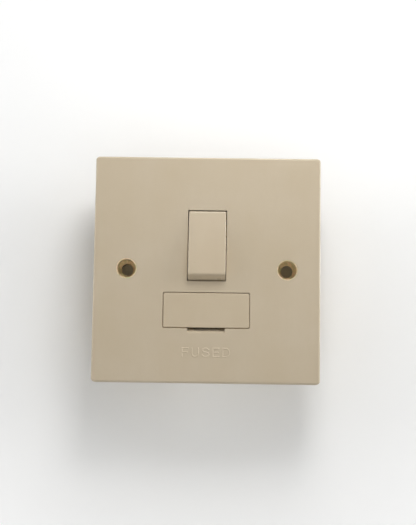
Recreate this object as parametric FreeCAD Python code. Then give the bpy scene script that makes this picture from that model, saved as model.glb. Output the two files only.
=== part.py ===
"""A switched fused spur unit: square front plate, rocker switch, pull-out fuse carrier and rear housing.

Millimetres. +X is right as seen from the front, +Z is up, and the front faces -Y. The origin is on the
wall plane, where the plate's rear rim lies, midway between the two fixing holes. The switch is off.
"""

import FreeCAD, Part
import math
import os

# Front plate, a tray that opens to the wall
PLATE_MARGIN = 12.35
PLATE_DEPTH = 9.0
FACE_WALL = 2.6
SKIRT_WALL = 2.2
PLATE_CORNER_R = 1.4
FRONT_EDGE_R = 0.7
INNER_CORNER_R = 1.0
PLATE_RIB = 1.2
PLATE_RIB_HEIGHT = 2.5

# Fixing holes, each lined by a metal cup for a countersunk screw
FIXING_OFFSET = 8.65
FIXING_HOLE_R = 2.25
CUP_R = 3.85
CUP_WALL = 0.35
CUP_SETBACK = 0.1
CUP_SEAT_DEPTH = 4.6
CUP_SPIGOT_WALL = 0.5
CUP_FLARE = 0.7
CUP_FLARE_HEIGHT = 0.6
CUP_FIT = 0.08
FIXING_BOSS_WALL = 1.8

# Rocker, whose ends are arcs about its pivot
ROCKER_WIDTH = 14.0
ROCKER_R = 13.88
ROCKER_TILT = 7.6
ROCKER_WALL = 1.5
ROCKER_SIDE_WALL = 1.2
ROCKER_SKIRT = 2.0
ROCKER_END_EDGE_R = 1.0
ROCKER_EDGE_R = 0.4
ROCKER_SIDE_GAP = 0.3
ROCKER_END_GAP = 0.4
ROCKER_RIB = 0.8
ROCKER_RIB_HEIGHT = 2.4
PIVOT_Z = 8.9
PIVOT_DEPTH = 5.0
TRUNNION_R = 1.5
TRUNNION_LENGTH = 1.5
RUNNING_FIT = 0.05
WELL_WALL = 1.6
WELL_GAP = 0.4

# Sprung plungers in the rocker
POLE_X = 3.6
PLUNGER_R = 1.7
PLUNGER_FIT = 0.08
PLUNGER_TUBE_WALL = 0.65
PLUNGER_TUBE_REACH = 3.5
PLUNGER_BACK = 0.5
PLUNGER_SHOULDER = 6.0
PLUNGER_TAPER = 0.9
PLUNGER_REACH = 8.0
PLUNGER_TIP_R = 1.0
PLUNGER_NOSE_R = 1.0
PLUNGER_NOSE = 1.2
PLUNGER_GAP = 0.05
SPRING_TURNS = 5
SPRING_MEAN_R = 1.42
SPRING_WIRE_R = 0.17
SPRING_GAP = 0.03

# Tilting contact bars, and the contacts
BAR_PIVOT_REACH = 10.5
BAR_TILT = 9.0
BAR_WIDTH = 4.4
BAR_THICK = 1.2
BAR_TAIL = 7.0
BAR_HEAD = 9.6
BAR_BEAD_R = 1.3
CONTACT_REACH = 8.0
CONTACT_R = 1.5
CONTACT_FACE_R = 0.8
CONTACT_HEIGHT = 0.7
CONTACT_GAP = 0.12
FIXED_CONTACT_R = 1.7
RIVET_R = 0.8
RIVET_FIT = 0.02

# Brass strips on the housing's floor, and the saddles in them
STRIP_THICK = 0.8
STRIP_WIDTH = 4.4
STRIP_NARROW = 2.8
STRIP_LINK = 1.8
STRIP_RISE = 0.2
STRIP_RUN_ON = 1.0
STRIP_TAIL = 1.6
SADDLE_HALF = 2.9
SADDLE_LIP = 0.5
SADDLE_FOOT = 2.6

# Cartridge fuse, of the standard size
FUSE_LENGTH = 25.4
FUSE_CAP_R = 3.175
FUSE_CAP_LENGTH = 5.6
FUSE_CAP_WALL = 0.21
FUSE_CAP_END = 0.4
FUSE_TUBE_FIT = 0.015
FUSE_CAP_EDGE_R = 0.15

# Fuse clips
CLIP_WIDTH = 5.0
CLIP_THICK = 0.7
CLIP_JAW_GAP = 0.12
CLIP_BACK_GAP = 0.3
CLIP_LIP_START = 2.4
CLIP_LIP_LENGTH = 1.3
CLIP_LIP_FLARE = 0.6
CLIP_LEG = 0.8
CLIP_FOOT = 3.6
CLIP_LEG_WIDTH = 4.0
CLIP_POST_GAP = 0.2

# Fuse carrier
CARRIER_END = 3.3
CARRIER_HEIGHT = 12.9
CARRIER_GAP = 0.3
CARRIER_COVER = 1.8
CARRIER_CORNER_R = 0.5
CARRIER_EDGE_R = 0.25
CARRIER_INSET = 0.4
CARRIER_WALL = 1.0
CARRIER_RUNNER = 1.2
CARRIER_RUNNER_GAP = 0.2
CARRIER_BACK_GAP = 0.45
CRADLE_INSET = 2.6
CRADLE_WALL = 1.4
CRADLE_GAP = 0.12
CRADLE_SNAP = 0.3
CRADLE_LIP = 1.4
FUSE_SETBACK = 2.0
CHUTE_WALL = 1.5
CHUTE_MARGIN = 1.9
WELL_TO_CHUTE = 3.32
NOTCH_WIDTH = 14.0
NOTCH_HEIGHT = 1.75
NOTCH_DEPTH = 1.9
NOTCH_POCKET_WIDTH = 9.0
NOTCH_POCKET_DEPTH = 0.6

# Terminal blocks and their screws
TERMINAL_WIDTH = 7.6
TERMINAL_HEIGHT = 9.0
TERMINAL_FRONT = 3.4
TERMINAL_REAR = 5.4
TERMINAL_EDGE = 0.3
TERMINAL_FIT = 0.1
TERMINAL_TO_COLUMN = 0.6
TERMINAL_TO_STRIP = 1.15
TERMINAL_TO_FUSE = 4.9
WIRE_BORE_R = 2.3
WIRE_AXIS_Y = 5.0
SCREW_CORE_R = 1.62
SCREW_HOLE_R = 2.0
SCREW_TRAVEL = 3.2
SCREW_TIP_GAP = 0.1
SCREW_TIP_EDGE = 0.3
SCREW_HEAD_R = 3.0
SCREW_HEAD = 2.2
SCREW_HEAD_EDGE = 0.3
SCREW_HEAD_MARGIN = 0.15
SCREW_SLOT = 0.9
SCREW_SLOT_DEPTH = 1.2

# Rear housing
HOUSING_WALL = 1.8
HOUSING_FLOOR = 2.0
HOUSING_CORNER_R = 2.0
HOUSING_RIM_GAP = 0.1
HOUSING_RIB = 0.7
POLE_BARRIER = 1.0
LIP_WALL = 1.0
LIP_FIT = 0.15
LIP_HEIGHT = 3.0
COLUMN_INSET = 4.9
COLUMN_R = 3.2
PILLAR_R = 2.9
COLUMN_FRONT_Y = 1.5
CHIMNEY_WALL = 1.2
CHIMNEY_BORE_R = 3.4
CHIMNEY_MARGIN = 0.5
WIRE_WINDOW = 6.6
STRAP_RIB = 1.0
HOLDER_R = 1.5
HOLDER_GAP = 0.1

# Screws that hold the housing to the plate
HOUSING_SCREW_R = 1.45
HOUSING_SCREW_FIT = 0.05
HOUSING_SCREW_GRIP = 6.4
HOUSING_SCREW_SEAT = 3.0
HOUSING_SCREW_HEAD_R = 2.7
HOUSING_SCREW_HEAD = 1.9
HOUSING_SCREW_RIM = 1.15
HOUSING_SCREW_CROWN_R = 1.9
HOUSING_SCREW_POINT = 1.2
PILOT_MARGIN = 0.6
COUNTERBORE_R = 3.0
RECESS_WIDTH = 0.8
RECESS_SPAN = 3.2
RECESS_DEPTH = 1.1

# Earth strap, one folded sheet, and its terminals
STRAP_THICK = 1.0
STRAP_WIDTH = 9.0
STRAP_SIDE_GAP = 0.1
STRAP_REAR_GAP = 0.05
STRAP_BEND_R = 1.3
STRAP_END = 5.7
EARTH_INSET = 0.65
EARTH_Z = -14.0
EARTH_SPIGOT_R = 1.9
EARTH_RIVET_R = 2.6
EARTH_RIVET = 0.5

# The widths: the housing takes the carrier and the terminals, the fixing holes stand clear of it at the
# 60.3 mm of a single wall box, and the plate reaches beyond them
CARRIER_WIDTH = FUSE_LENGTH + 2 * CARRIER_END
CHUTE_HALF_X = CARRIER_WIDTH / 2 + CARRIER_GAP
STRIP_SIDE_X = POLE_X - STRIP_WIDTH / 2 + STRIP_NARROW
LEAST_TERMINAL_X = STRIP_SIDE_X + 2 * TERMINAL_FIT + HOUSING_RIB + TERMINAL_WIDTH / 2
LEAST_COLUMN_X = LEAST_TERMINAL_X + TERMINAL_WIDTH / 2 + TERMINAL_TO_COLUMN + COLUMN_R
CHUTE_ROOM_X = CHUTE_HALF_X + CHUTE_WALL + CHUTE_MARGIN
HOUSING_HALF_X = max(CHUTE_ROOM_X + HOUSING_WALL, LEAST_COLUMN_X + COLUMN_INSET)
HOUSING_WIDTH = 2 * HOUSING_HALF_X
FIXING_SPACING = HOUSING_WIDTH + 2 * FIXING_OFFSET
FIXING_X = FIXING_SPACING / 2
PLATE_SIZE = FIXING_SPACING + 2 * PLATE_MARGIN
COLUMN_X = HOUSING_WIDTH / 2 - COLUMN_INSET
TERMINAL_X = COLUMN_X - COLUMN_R - TERMINAL_TO_COLUMN - TERMINAL_WIDTH / 2
CLIP_X = FUSE_LENGTH / 2 - FUSE_CAP_LENGTH / 2
CRADLE_X = FUSE_LENGTH / 2 - FUSE_CAP_LENGTH - CRADLE_INSET
EARTH_X = FIXING_X - EARTH_INSET
LEG_X = HOUSING_WIDTH / 2 + STRAP_SIDE_GAP

# The heights: the fuse lies below the rocker's well, and the terminals clear both the contacts and the fuse
APERTURE_HALF = ROCKER_WIDTH / 2 + ROCKER_SIDE_GAP
APERTURE_R = ROCKER_R + ROCKER_END_GAP
CHUTE_HALF_Z = CARRIER_HEIGHT / 2 + CARRIER_GAP
FUSE_Z = PIVOT_Z - APERTURE_R - WELL_TO_CHUTE - CHUTE_HALF_Z
OFF_TILT = math.radians(BAR_TILT)
BAR_FRONT = BAR_PIVOT_REACH - PLUNGER_REACH - PLUNGER_TIP_R - PLUNGER_GAP
BAR_REAR = BAR_FRONT - BAR_THICK
CONTACT_FACE = CONTACT_HEIGHT - BAR_REAR
FIXED_CONTACT_Z = PIVOT_Z + CONTACT_REACH * math.cos(OFF_TILT) - CONTACT_FACE * math.sin(OFF_TILT)
CLEAR_Z = max(FIXED_CONTACT_Z + STRIP_WIDTH / 2 + TERMINAL_TO_STRIP, TERMINAL_TO_FUSE - FUSE_Z)
TERMINAL_Z = CLEAR_Z + TERMINAL_HEIGHT / 2
HOUSING_HEIGHT = 2 * (TERMINAL_Z + TERMINAL_HEIGHT / 2 + TERMINAL_FIT + HOUSING_WALL)
COLUMN_Z = HOUSING_HEIGHT / 2 - COLUMN_INSET

# The depths, from the plate's face to the housing's back
FRONT_Y = -PLATE_DEPTH
INNER_Y = FRONT_Y + FACE_WALL
PAD_REAR_Y = -CUP_FLARE_HEIGHT
PAD_FRONT_Y = PAD_REAR_Y - STRAP_THICK
FIXING_BORE_R = CUP_R + CUP_FIT
PIVOT_Y = FRONT_Y + PIVOT_DEPTH
FACE_OFFSET = ROCKER_R * math.sin(math.asin(PIVOT_DEPTH / ROCKER_R) + math.radians(ROCKER_TILT))
TUBE_FLOOR = -(FACE_OFFSET - ROCKER_WALL)
BAR_PIVOT_Y = PIVOT_Y + BAR_PIVOT_REACH
FLOOR_Y = WIRE_AXIS_Y + TERMINAL_REAR
STRIP_Y = FLOOR_Y - STRIP_THICK
TERMINAL_Y = WIRE_AXIS_Y - TERMINAL_FRONT
WELL_BACK_Y = TERMINAL_Y - WELL_GAP
BACK_Y = FLOOR_Y + HOUSING_FLOOR
HEAD_Y = FLOOR_Y + SCREW_HEAD_MARGIN + SCREW_TRAVEL
CHIMNEY_Y = HEAD_Y + SCREW_HEAD + CHIMNEY_MARGIN
FUSE_Y = FRONT_Y + CARRIER_COVER + FUSE_SETBACK + FUSE_CAP_R
CLIP_BACK_Y = FUSE_Y + FUSE_CAP_R + CLIP_BACK_GAP
CLIP_JAW = FUSE_CAP_R + CLIP_JAW_GAP
CARRIER_BACK_Y = CLIP_BACK_Y - CARRIER_BACK_GAP
FUSE_TUBE_R = FUSE_CAP_R - FUSE_CAP_WALL - FUSE_TUBE_FIT
HOUSING_HEAD_Y = BACK_Y - HOUSING_SCREW_SEAT
STRAP_BACK_Y = BACK_Y + STRAP_REAR_GAP
EARTH_REAR_Y = PAD_REAR_Y + TERMINAL_FRONT + TERMINAL_REAR
FIXED_CONTACT_Y = (
    BAR_PIVOT_Y
    + CONTACT_FACE * math.cos(OFF_TILT)
    + (CONTACT_REACH + CONTACT_FACE_R) * math.sin(OFF_TILT)
    + CONTACT_GAP
)

SIDES = (-1, 1)
LEFT, RIGHT = SIDES
CUT = 1.0


def box(x, y, z):
    """A block between two values of x, two of y and two of z, given in any order."""
    low = FreeCAD.Vector(min(x), min(y), min(z))
    return Part.makeBox(abs(x[1] - x[0]), abs(y[1] - y[0]), abs(z[1] - z[0]), low)


def disc(x, z, radius, y):
    """A round bar along Y, about the line through x and z, between two values of y."""
    base = FreeCAD.Vector(x, min(y), z)
    return Part.makeCylinder(radius, abs(y[1] - y[0]), base, FreeCAD.Vector(0, 1, 0))


def cross_rod(y, z, radius, x):
    """A round bar along X, about the line through y and z, between two values of x."""
    base = FreeCAD.Vector(min(x), y, z)
    return Part.makeCylinder(radius, abs(x[1] - x[0]), base, FreeCAD.Vector(1, 0, 0))


def upright(x, y, radius, z):
    """A round bar along Z, about the line through x and y, between two values of z."""
    base = FreeCAD.Vector(x, y, min(z))
    return Part.makeCylinder(radius, abs(z[1] - z[0]), base, FreeCAD.Vector(0, 0, 1))


def about(centre, half):
    """The two values that lie a half width either side of a centre."""
    return (centre - half, centre + half)


def side_profile(points, x):
    """A closed outline of (y, z) points, carried along X between two values of x."""
    corners = [FreeCAD.Vector(min(x), y, z) for y, z in points]
    face = Part.Face(Part.makePolygon(corners + corners[:1]))
    return face.extrude(FreeCAD.Vector(abs(x[1] - x[0]), 0, 0))


def turned(points, x, z):
    """A closed outline of (radius, y) points, turned about the line along Y through x and z."""
    corners = [FreeCAD.Vector(x + r, y, z) for r, y in points]
    face = Part.Face(Part.makePolygon(corners + corners[:1]))
    return face.revolve(FreeCAD.Vector(x, 0, z), FreeCAD.Vector(0, 1, 0), 360)


def joined(*shapes):
    """One solid from several that meet, with no seams left in its flat faces."""
    return shapes[0].multiFuse(list(shapes[1:])).removeSplitter()


def without(shape, *tools):
    """A solid less each of the tools."""
    return shape.cut(list(tools))


def runs_along(edge, axis):
    """Is this a straight edge along X (0), Y (1) or Z (2)?"""
    if edge.Curve.TypeId != "Part::GeomLine":
        return False
    return abs(abs(edge.tangentAt(edge.FirstParameter)[axis]) - 1) < 1e-6


def lies_at(edge, axis, value):
    """Does the whole edge lie at this value of X (0), Y (1) or Z (2)?"""
    bounds = edge.BoundBox
    low = (bounds.XMin, bounds.YMin, bounds.ZMin)[axis]
    high = (bounds.XMax, bounds.YMax, bounds.ZMax)[axis]
    return abs(low - value) < 1e-4 and abs(high - value) < 1e-4


def rounded(shape, radius, wanted):
    """The solid with a radius on each edge that the test picks."""
    return shape.makeFillet(radius, [e for e in shape.Edges if wanted(e)])


def tilted(shape, y, z, degrees):
    """The solid turned about the line along X through y and z."""
    turned_shape = shape.copy()
    turned_shape.rotate(FreeCAD.Vector(0, y, z), FreeCAD.Vector(1, 0, 0), degrees)
    return turned_shape


def screw_places():
    """Where the four housing screws stand, as x and z."""
    return [(side * COLUMN_X, end * COLUMN_Z) for side in SIDES for end in SIDES]


def terminal_places():
    """Where the four terminals in the housing stand, as x and z."""
    return [(side * TERMINAL_X, end * TERMINAL_Z) for side in SIDES for end in SIDES]


def rocker_aperture():
    """The rocker's way through the plate: ends that keep an even gap round its arcs, and then run back."""
    x = about(0, APERTURE_HALF)
    z = about(PIVOT_Z, APERTURE_R)
    arcs = cross_rod(PIVOT_Y, PIVOT_Z, APERTURE_R, x).common(box(x, (FRONT_Y - CUT, PIVOT_Y), z))
    return arcs.fuse(box(x, (PIVOT_Y, WELL_BACK_Y + CUT), z))


def trunnion_slot(side):
    """A slot through one side of the well, open to the rear, for a trunnion."""
    x = (side * (APERTURE_HALF - CUT / 2), side * (APERTURE_HALF + WELL_WALL + CUT / 2))
    radius = TRUNNION_R + RUNNING_FIT
    seat = cross_rod(PIVOT_Y, PIVOT_Z, radius, x)
    return seat.fuse(box(x, (PIVOT_Y, WELL_BACK_Y + CUT), about(PIVOT_Z, radius)))


def pry_notch():
    """The ramp below the fuse carrier, deepest at the carrier, with a pocket for a screwdriver's tip."""
    top = FUSE_Z - CHUTE_HALF_Z
    ramp = side_profile(
        [
            (FRONT_Y - CUT, top + CUT),
            (FRONT_Y + NOTCH_DEPTH, top + CUT),
            (FRONT_Y + NOTCH_DEPTH, top),
            (FRONT_Y, top - NOTCH_HEIGHT),
            (FRONT_Y - CUT, top - NOTCH_HEIGHT),
        ],
        about(0, NOTCH_WIDTH / 2),
    )
    pocket = box(
        about(0, NOTCH_POCKET_WIDTH / 2),
        (FRONT_Y, FRONT_Y + NOTCH_DEPTH + NOTCH_POCKET_DEPTH),
        (top + CUT, top - NOTCH_POCKET_DEPTH),
    )
    return ramp.fuse(pocket)


def plate_shell():
    """The square tray, with its rounded corners and front edge."""
    half = PLATE_SIZE / 2
    tray = box(about(0, half), (FRONT_Y, 0), about(0, half))
    tray = rounded(tray, PLATE_CORNER_R, lambda e: runs_along(e, 1))
    tray = rounded(tray, FRONT_EDGE_R, lambda e: lies_at(e, 1, FRONT_Y))
    inside = half - SKIRT_WALL
    hollow = box(about(0, inside), (INNER_Y, CUT), about(0, inside))
    hollow = rounded(hollow, INNER_CORNER_R, lambda e: runs_along(e, 1))
    return without(tray, hollow)


def plate_ribs():
    """Stiffening ribs from the lip round the housing to the skirt and to the fixing bosses."""
    y = (INNER_Y - CUT / 2, INNER_Y + PLATE_RIB_HEIGHT)
    skirt = PLATE_SIZE / 2 - SKIRT_WALL / 2
    lip_x = HOUSING_WIDTH / 2 + LIP_FIT + LIP_WALL / 2
    lip_z = HOUSING_HEIGHT / 2 + LIP_FIT + LIP_WALL / 2
    boss = FIXING_BORE_R + FIXING_BOSS_WALL / 2
    ribs = []
    for side in SIDES:
        for place in about(0, HOUSING_HEIGHT / 4):
            ribs.append(box((side * lip_x, side * skirt), y, about(place, PLATE_RIB / 2)))
        for place in about(0, HOUSING_WIDTH / 3):
            ribs.append(box(about(place, PLATE_RIB / 2), y, (side * lip_z, side * skirt)))
        ribs.append(box((side * (FIXING_X + boss), side * skirt), y, about(0, PLATE_RIB / 2)))
        ribs.append(box((side * lip_x, side * (FIXING_X - boss)), y, about(0, PLATE_RIB / 2)))
    return ribs


def front_plate():
    """Face, skirt, rocker well, fuse chute, fixing bosses, pillars and ribs, all in one moulding."""
    root_y = INNER_Y - CUT / 2
    well = box(
        about(0, APERTURE_HALF + WELL_WALL), (root_y, WELL_BACK_Y), about(PIVOT_Z, APERTURE_R + WELL_WALL)
    )
    chute = box(
        about(0, CHUTE_HALF_X + CHUTE_WALL), (root_y, WELL_BACK_Y), about(FUSE_Z, CHUTE_HALF_Z + CHUTE_WALL)
    )
    lip_x, lip_z = HOUSING_WIDTH / 2 + LIP_FIT, HOUSING_HEIGHT / 2 + LIP_FIT
    lip_y = (root_y, INNER_Y + LIP_HEIGHT)
    lip = without(
        box(about(0, lip_x + LIP_WALL), lip_y, about(0, lip_z + LIP_WALL)),
        box(about(0, lip_x), (root_y - CUT, lip_y[1] + CUT), about(0, lip_z)),
    )
    added = [well, chute, lip] + plate_ribs()
    removed = [rocker_aperture(), pry_notch()]
    chute_y = (FRONT_Y - CUT, WELL_BACK_Y + CUT)
    chute_hole = box(about(0, CHUTE_HALF_X), chute_y, about(FUSE_Z, CHUTE_HALF_Z))
    removed.append(rounded(chute_hole, CARRIER_CORNER_R + CARRIER_GAP / 2, lambda e: runs_along(e, 1)))
    for side in SIDES:
        removed.append(trunnion_slot(side))
        added.append(disc(side * FIXING_X, 0, FIXING_BORE_R + FIXING_BOSS_WALL, (root_y, PAD_FRONT_Y)))
        removed.append(disc(side * FIXING_X, 0, FIXING_BORE_R, (FRONT_Y - CUT, CUT)))
    pilot_end = COLUMN_FRONT_Y - HOUSING_SCREW_GRIP - PILOT_MARGIN
    for x, z in screw_places():
        added.append(disc(x, z, PILLAR_R, (root_y, COLUMN_FRONT_Y)))
        removed.append(disc(x, z, HOUSING_SCREW_R + HOUSING_SCREW_FIT, (pilot_end, COLUMN_FRONT_Y + CUT)))
    for x, z in terminal_places():
        across = math.copysign(HOLDER_R + HOUSING_RIB, x)
        up = math.copysign(HOLDER_R, z)
        added.append(disc(x + across, z + up, HOLDER_R, (root_y, TERMINAL_Y - HOLDER_GAP)))
    return without(joined(plate_shell(), *added), *removed)


def rocker():
    """The rocker, hollow from behind, modelled level about its pivot and then tipped to off."""
    top = math.sqrt(ROCKER_R**2 - FACE_OFFSET**2)
    skirt = math.sqrt(ROCKER_R**2 - ROCKER_SKIRT**2)
    half = ROCKER_WIDTH / 2

    def outline(radius, front, rear):
        """The side outline: a flat front between two arcs, and a flat rear edge."""
        high = math.sqrt(radius**2 - front**2)
        low = math.sqrt(radius**2 - rear**2)
        corners = ((-front, high), (rear, low), (rear, -low), (-front, -high))
        at = [FreeCAD.Vector(0, y, z) for y, z in corners]
        crown, foot = FreeCAD.Vector(0, 0, radius), FreeCAD.Vector(0, 0, -radius)
        edges = [
            Part.Arc(at[0], crown, at[1]).toShape(),
            Part.LineSegment(at[1], at[2]).toShape(),
            Part.Arc(at[2], foot, at[3]).toShape(),
            Part.LineSegment(at[3], at[0]).toShape(),
        ]
        return Part.Face(Part.Wire(edges))

    body = outline(ROCKER_R, FACE_OFFSET, ROCKER_SKIRT).extrude(FreeCAD.Vector(2 * half, 0, 0))
    body.translate(FreeCAD.Vector(-half, 0, 0))
    body = rounded(body, ROCKER_END_EDGE_R, lambda e: runs_along(e, 0) and lies_at(e, 1, -FACE_OFFSET))
    body = rounded(body, ROCKER_EDGE_R, on_rocker_side)
    inner = half - ROCKER_SIDE_WALL
    inside = outline(ROCKER_R - ROCKER_WALL, -TUBE_FLOOR, ROCKER_SKIRT)
    hollow = inside.extrude(FreeCAD.Vector(2 * inner, 0, 0))
    hollow.translate(FreeCAD.Vector(-inner, 0, 0))
    hollow = hollow.fuse(box(about(0, inner), (0, ROCKER_SKIRT + CUT), about(0, skirt - ROCKER_WALL)))
    body = without(body, hollow)
    tube_y = (TUBE_FLOOR - ROCKER_WALL / 2, PLUNGER_TUBE_REACH)
    bore = PLUNGER_R + PLUNGER_FIT
    tubes = [disc(side * POLE_X, 0, bore + PLUNGER_TUBE_WALL, tube_y) for side in SIDES]
    bores = [disc(side * POLE_X, 0, bore, (TUBE_FLOOR, PLUNGER_TUBE_REACH + CUT)) for side in SIDES]
    rib = box(
        about(0, ROCKER_RIB / 2),
        (TUBE_FLOOR - ROCKER_WALL / 2, TUBE_FLOOR + ROCKER_RIB_HEIGHT),
        about(0, top - ROCKER_WALL),
    )
    trunnions = [
        cross_rod(0, 0, TRUNNION_R, (side * (half - ROCKER_SIDE_WALL), side * (half + TRUNNION_LENGTH)))
        for side in SIDES
    ]
    body = without(joined(body, rib, *tubes, *trunnions), *bores)
    return placed_in_rocker(body)


def on_rocker_side(edge):
    """Is this an edge round one side of the rocker, off its flat rear?"""
    on_side = any(lies_at(edge, 0, x) for x in about(0, ROCKER_WIDTH / 2))
    return on_side and not lies_at(edge, 1, ROCKER_SKIRT)


def placed_in_rocker(shape):
    """A solid modelled about the rocker's pivot, tipped to off and moved to the pivot's place."""
    shape = tilted(shape, 0, 0, -ROCKER_TILT)
    shape.translate(FreeCAD.Vector(0, PIVOT_Y, PIVOT_Z))
    return shape


def plunger(side):
    """A moulded plunger: a nose inside the spring, a guided stem and a round tip that bears on the bar."""
    neck = PLUNGER_SHOULDER + PLUNGER_TAPER
    stem = turned(
        [
            (0, PLUNGER_BACK - PLUNGER_NOSE),
            (PLUNGER_NOSE_R, PLUNGER_BACK - PLUNGER_NOSE),
            (PLUNGER_NOSE_R, PLUNGER_BACK),
            (PLUNGER_R, PLUNGER_BACK),
            (PLUNGER_R, PLUNGER_SHOULDER),
            (PLUNGER_TIP_R, neck),
            (PLUNGER_TIP_R, PLUNGER_REACH),
            (0, PLUNGER_REACH),
        ],
        side * POLE_X,
        0,
    )
    tip = Part.makeSphere(PLUNGER_TIP_R, FreeCAD.Vector(side * POLE_X, PLUNGER_REACH, 0))
    return placed_in_rocker(joined(stem, tip))


def plunger_spring(side):
    """The coil between the rocker and the plunger's shoulder, of six-sided wire."""
    start = TUBE_FLOOR + SPRING_WIRE_R + SPRING_GAP
    end = PLUNGER_BACK - SPRING_WIRE_R - SPRING_GAP
    path = Part.Wire(Part.makeHelix((end - start) / SPRING_TURNS, end - start, SPRING_MEAN_R))
    corners = []
    for k in range(6):
        angle = math.radians(60 * k)
        across, up = SPRING_WIRE_R * math.cos(angle), SPRING_WIRE_R * math.sin(angle)
        corners.append(FreeCAD.Vector(SPRING_MEAN_R + across, 0, up))
    coil = path.makePipeShell([Part.makePolygon(corners + corners[:1])], True, True)
    coil = coil if coil.ShapeType == "Solid" else Part.Solid(coil)
    coil.rotate(FreeCAD.Vector(0, 0, 0), FreeCAD.Vector(1, 0, 0), -90)
    coil.translate(FreeCAD.Vector(side * POLE_X, start, 0))
    return placed_in_rocker(coil)


def tipped_bar(shape):
    """A solid modelled about a contact bar's pivot, tipped to off and moved to the pivot's place."""
    shape = tilted(shape, 0, 0, BAR_TILT)
    shape.translate(FreeCAD.Vector(0, BAR_PIVOT_Y, PIVOT_Z))
    return shape


def contact_bar(side):
    """A brass bar with a half-round bead behind it, which tilts in the saddle."""
    x = about(side * POLE_X, BAR_WIDTH / 2)
    flat = box(x, (-BAR_FRONT, -BAR_REAR), (-BAR_TAIL, BAR_HEAD))
    bead = cross_rod(0, 0, BAR_BEAD_R, x).common(
        box(x, (-BAR_REAR - BAR_THICK / 2, BAR_BEAD_R + CUT), about(0, BAR_BEAD_R + CUT))
    )
    hole = disc(side * POLE_X, CONTACT_REACH, RIVET_R + RIVET_FIT, (-BAR_FRONT - CUT, CUT))
    return tipped_bar(without(joined(flat, bead), hole))


def moving_contact(side):
    """The silver rivet at the top of a contact bar, with a coned head behind the bar."""
    head = turned(
        [
            (0, -BAR_FRONT),
            (RIVET_R, -BAR_FRONT),
            (RIVET_R, -BAR_REAR),
            (CONTACT_R, -BAR_REAR),
            (CONTACT_R, -BAR_REAR + CONTACT_HEIGHT / 2),
            (CONTACT_FACE_R, -BAR_REAR + CONTACT_HEIGHT),
            (0, -BAR_REAR + CONTACT_HEIGHT),
        ],
        side * POLE_X,
        CONTACT_REACH,
    )
    return tipped_bar(head)


def fixed_contact(side):
    """The silver rivet on a feed strip, behind the moving contact."""
    head = disc(side * POLE_X, FIXED_CONTACT_Z, FIXED_CONTACT_R, (FIXED_CONTACT_Y, STRIP_Y))
    shank = disc(side * POLE_X, FIXED_CONTACT_Z, RIVET_R, (STRIP_Y, FLOOR_Y))
    return joined(head, shank)


def flat_strip(*areas):
    """One flat sheet on the housing's floor, made of rectangles given as x and z ranges."""
    return joined(*[box(x, (STRIP_Y, FLOOR_Y), z) for x, z in areas])


def supply_strip(side):
    """From under a supply terminal to the fixed contact of its pole."""
    tail_x = about(side * TERMINAL_X, STRIP_WIDTH / 2)
    cross_z = about(FIXED_CONTACT_Z, STRIP_WIDTH / 2)
    inner = side * (POLE_X - STRIP_WIDTH / 2)
    outer = side * (TERMINAL_X + STRIP_WIDTH / 2)
    tail_end = TERMINAL_Z - TERMINAL_HEIGHT / 2 + STRIP_TAIL
    strip = flat_strip(((inner, outer), cross_z), (tail_x, (cross_z[0], tail_end)))
    hole_y = (STRIP_Y - CUT, FLOOR_Y + CUT)
    return without(strip, disc(side * POLE_X, FIXED_CONTACT_Z, RIVET_R + RIVET_FIT, hole_y))


def saddle(side):
    """A raised bridge in a strip, with a round trough in which a contact bar's bead tilts."""
    x = about(side * POLE_X, STRIP_WIDTH / 2)
    top = BAR_PIVOT_Y + SADDLE_LIP
    trough = BAR_BEAD_R + RUNNING_FIT
    bridge = box(x, (top, FLOOR_Y), about(PIVOT_Z, SADDLE_HALF))
    under = box(x, (top + STRIP_THICK, FLOOR_Y + CUT), about(PIVOT_Z, SADDLE_HALF - STRIP_THICK))
    belly = cross_rod(BAR_PIVOT_Y, PIVOT_Z, trough + STRIP_THICK, x).common(
        box(x, (top, FLOOR_Y), about(PIVOT_Z, SADDLE_HALF))
    )
    return without(joined(without(bridge, under), belly), cross_rod(BAR_PIVOT_Y, PIVOT_Z, trough, x))


def line_pivot_strip():
    """Saddle of the line pole, and the strip down to the fuse clip's foot."""
    x = about(LEFT * POLE_X, STRIP_WIDTH / 2)
    below = (PIVOT_Z - SADDLE_HALF + STRIP_THICK, FUSE_Z - CLIP_LEG_WIDTH / 2)
    above = (PIVOT_Z + SADDLE_HALF - STRIP_THICK, PIVOT_Z + SADDLE_HALF + SADDLE_FOOT)
    return joined(saddle(LEFT), flat_strip((x, below)), flat_strip((x, above)))


def neutral_pivot_strip():
    """Saddle of the neutral pole, and the strip that passes behind the fuse to the load terminal."""
    inner = RIGHT * POLE_X - STRIP_WIDTH / 2
    x = (inner, inner + STRIP_WIDTH)
    below = (PIVOT_Z - SADDLE_HALF + STRIP_THICK, -TERMINAL_Z + TERMINAL_HEIGHT / 2 + STRIP_RUN_ON)
    above = (PIVOT_Z + SADDLE_HALF - STRIP_THICK, PIVOT_Z + SADDLE_HALF + SADDLE_FOOT)
    run = about(-TERMINAL_Z, STRIP_WIDTH / 2)
    tail_end = -TERMINAL_X + TERMINAL_WIDTH / 2 - STRIP_TAIL
    strips = flat_strip(
        (x, below),
        ((inner, inner + STRIP_NARROW), (below[0], run[0])),
        ((tail_end, inner + STRIP_NARROW), run),
    )
    return joined(saddle(RIGHT), strips, flat_strip((x, above)))


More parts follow.
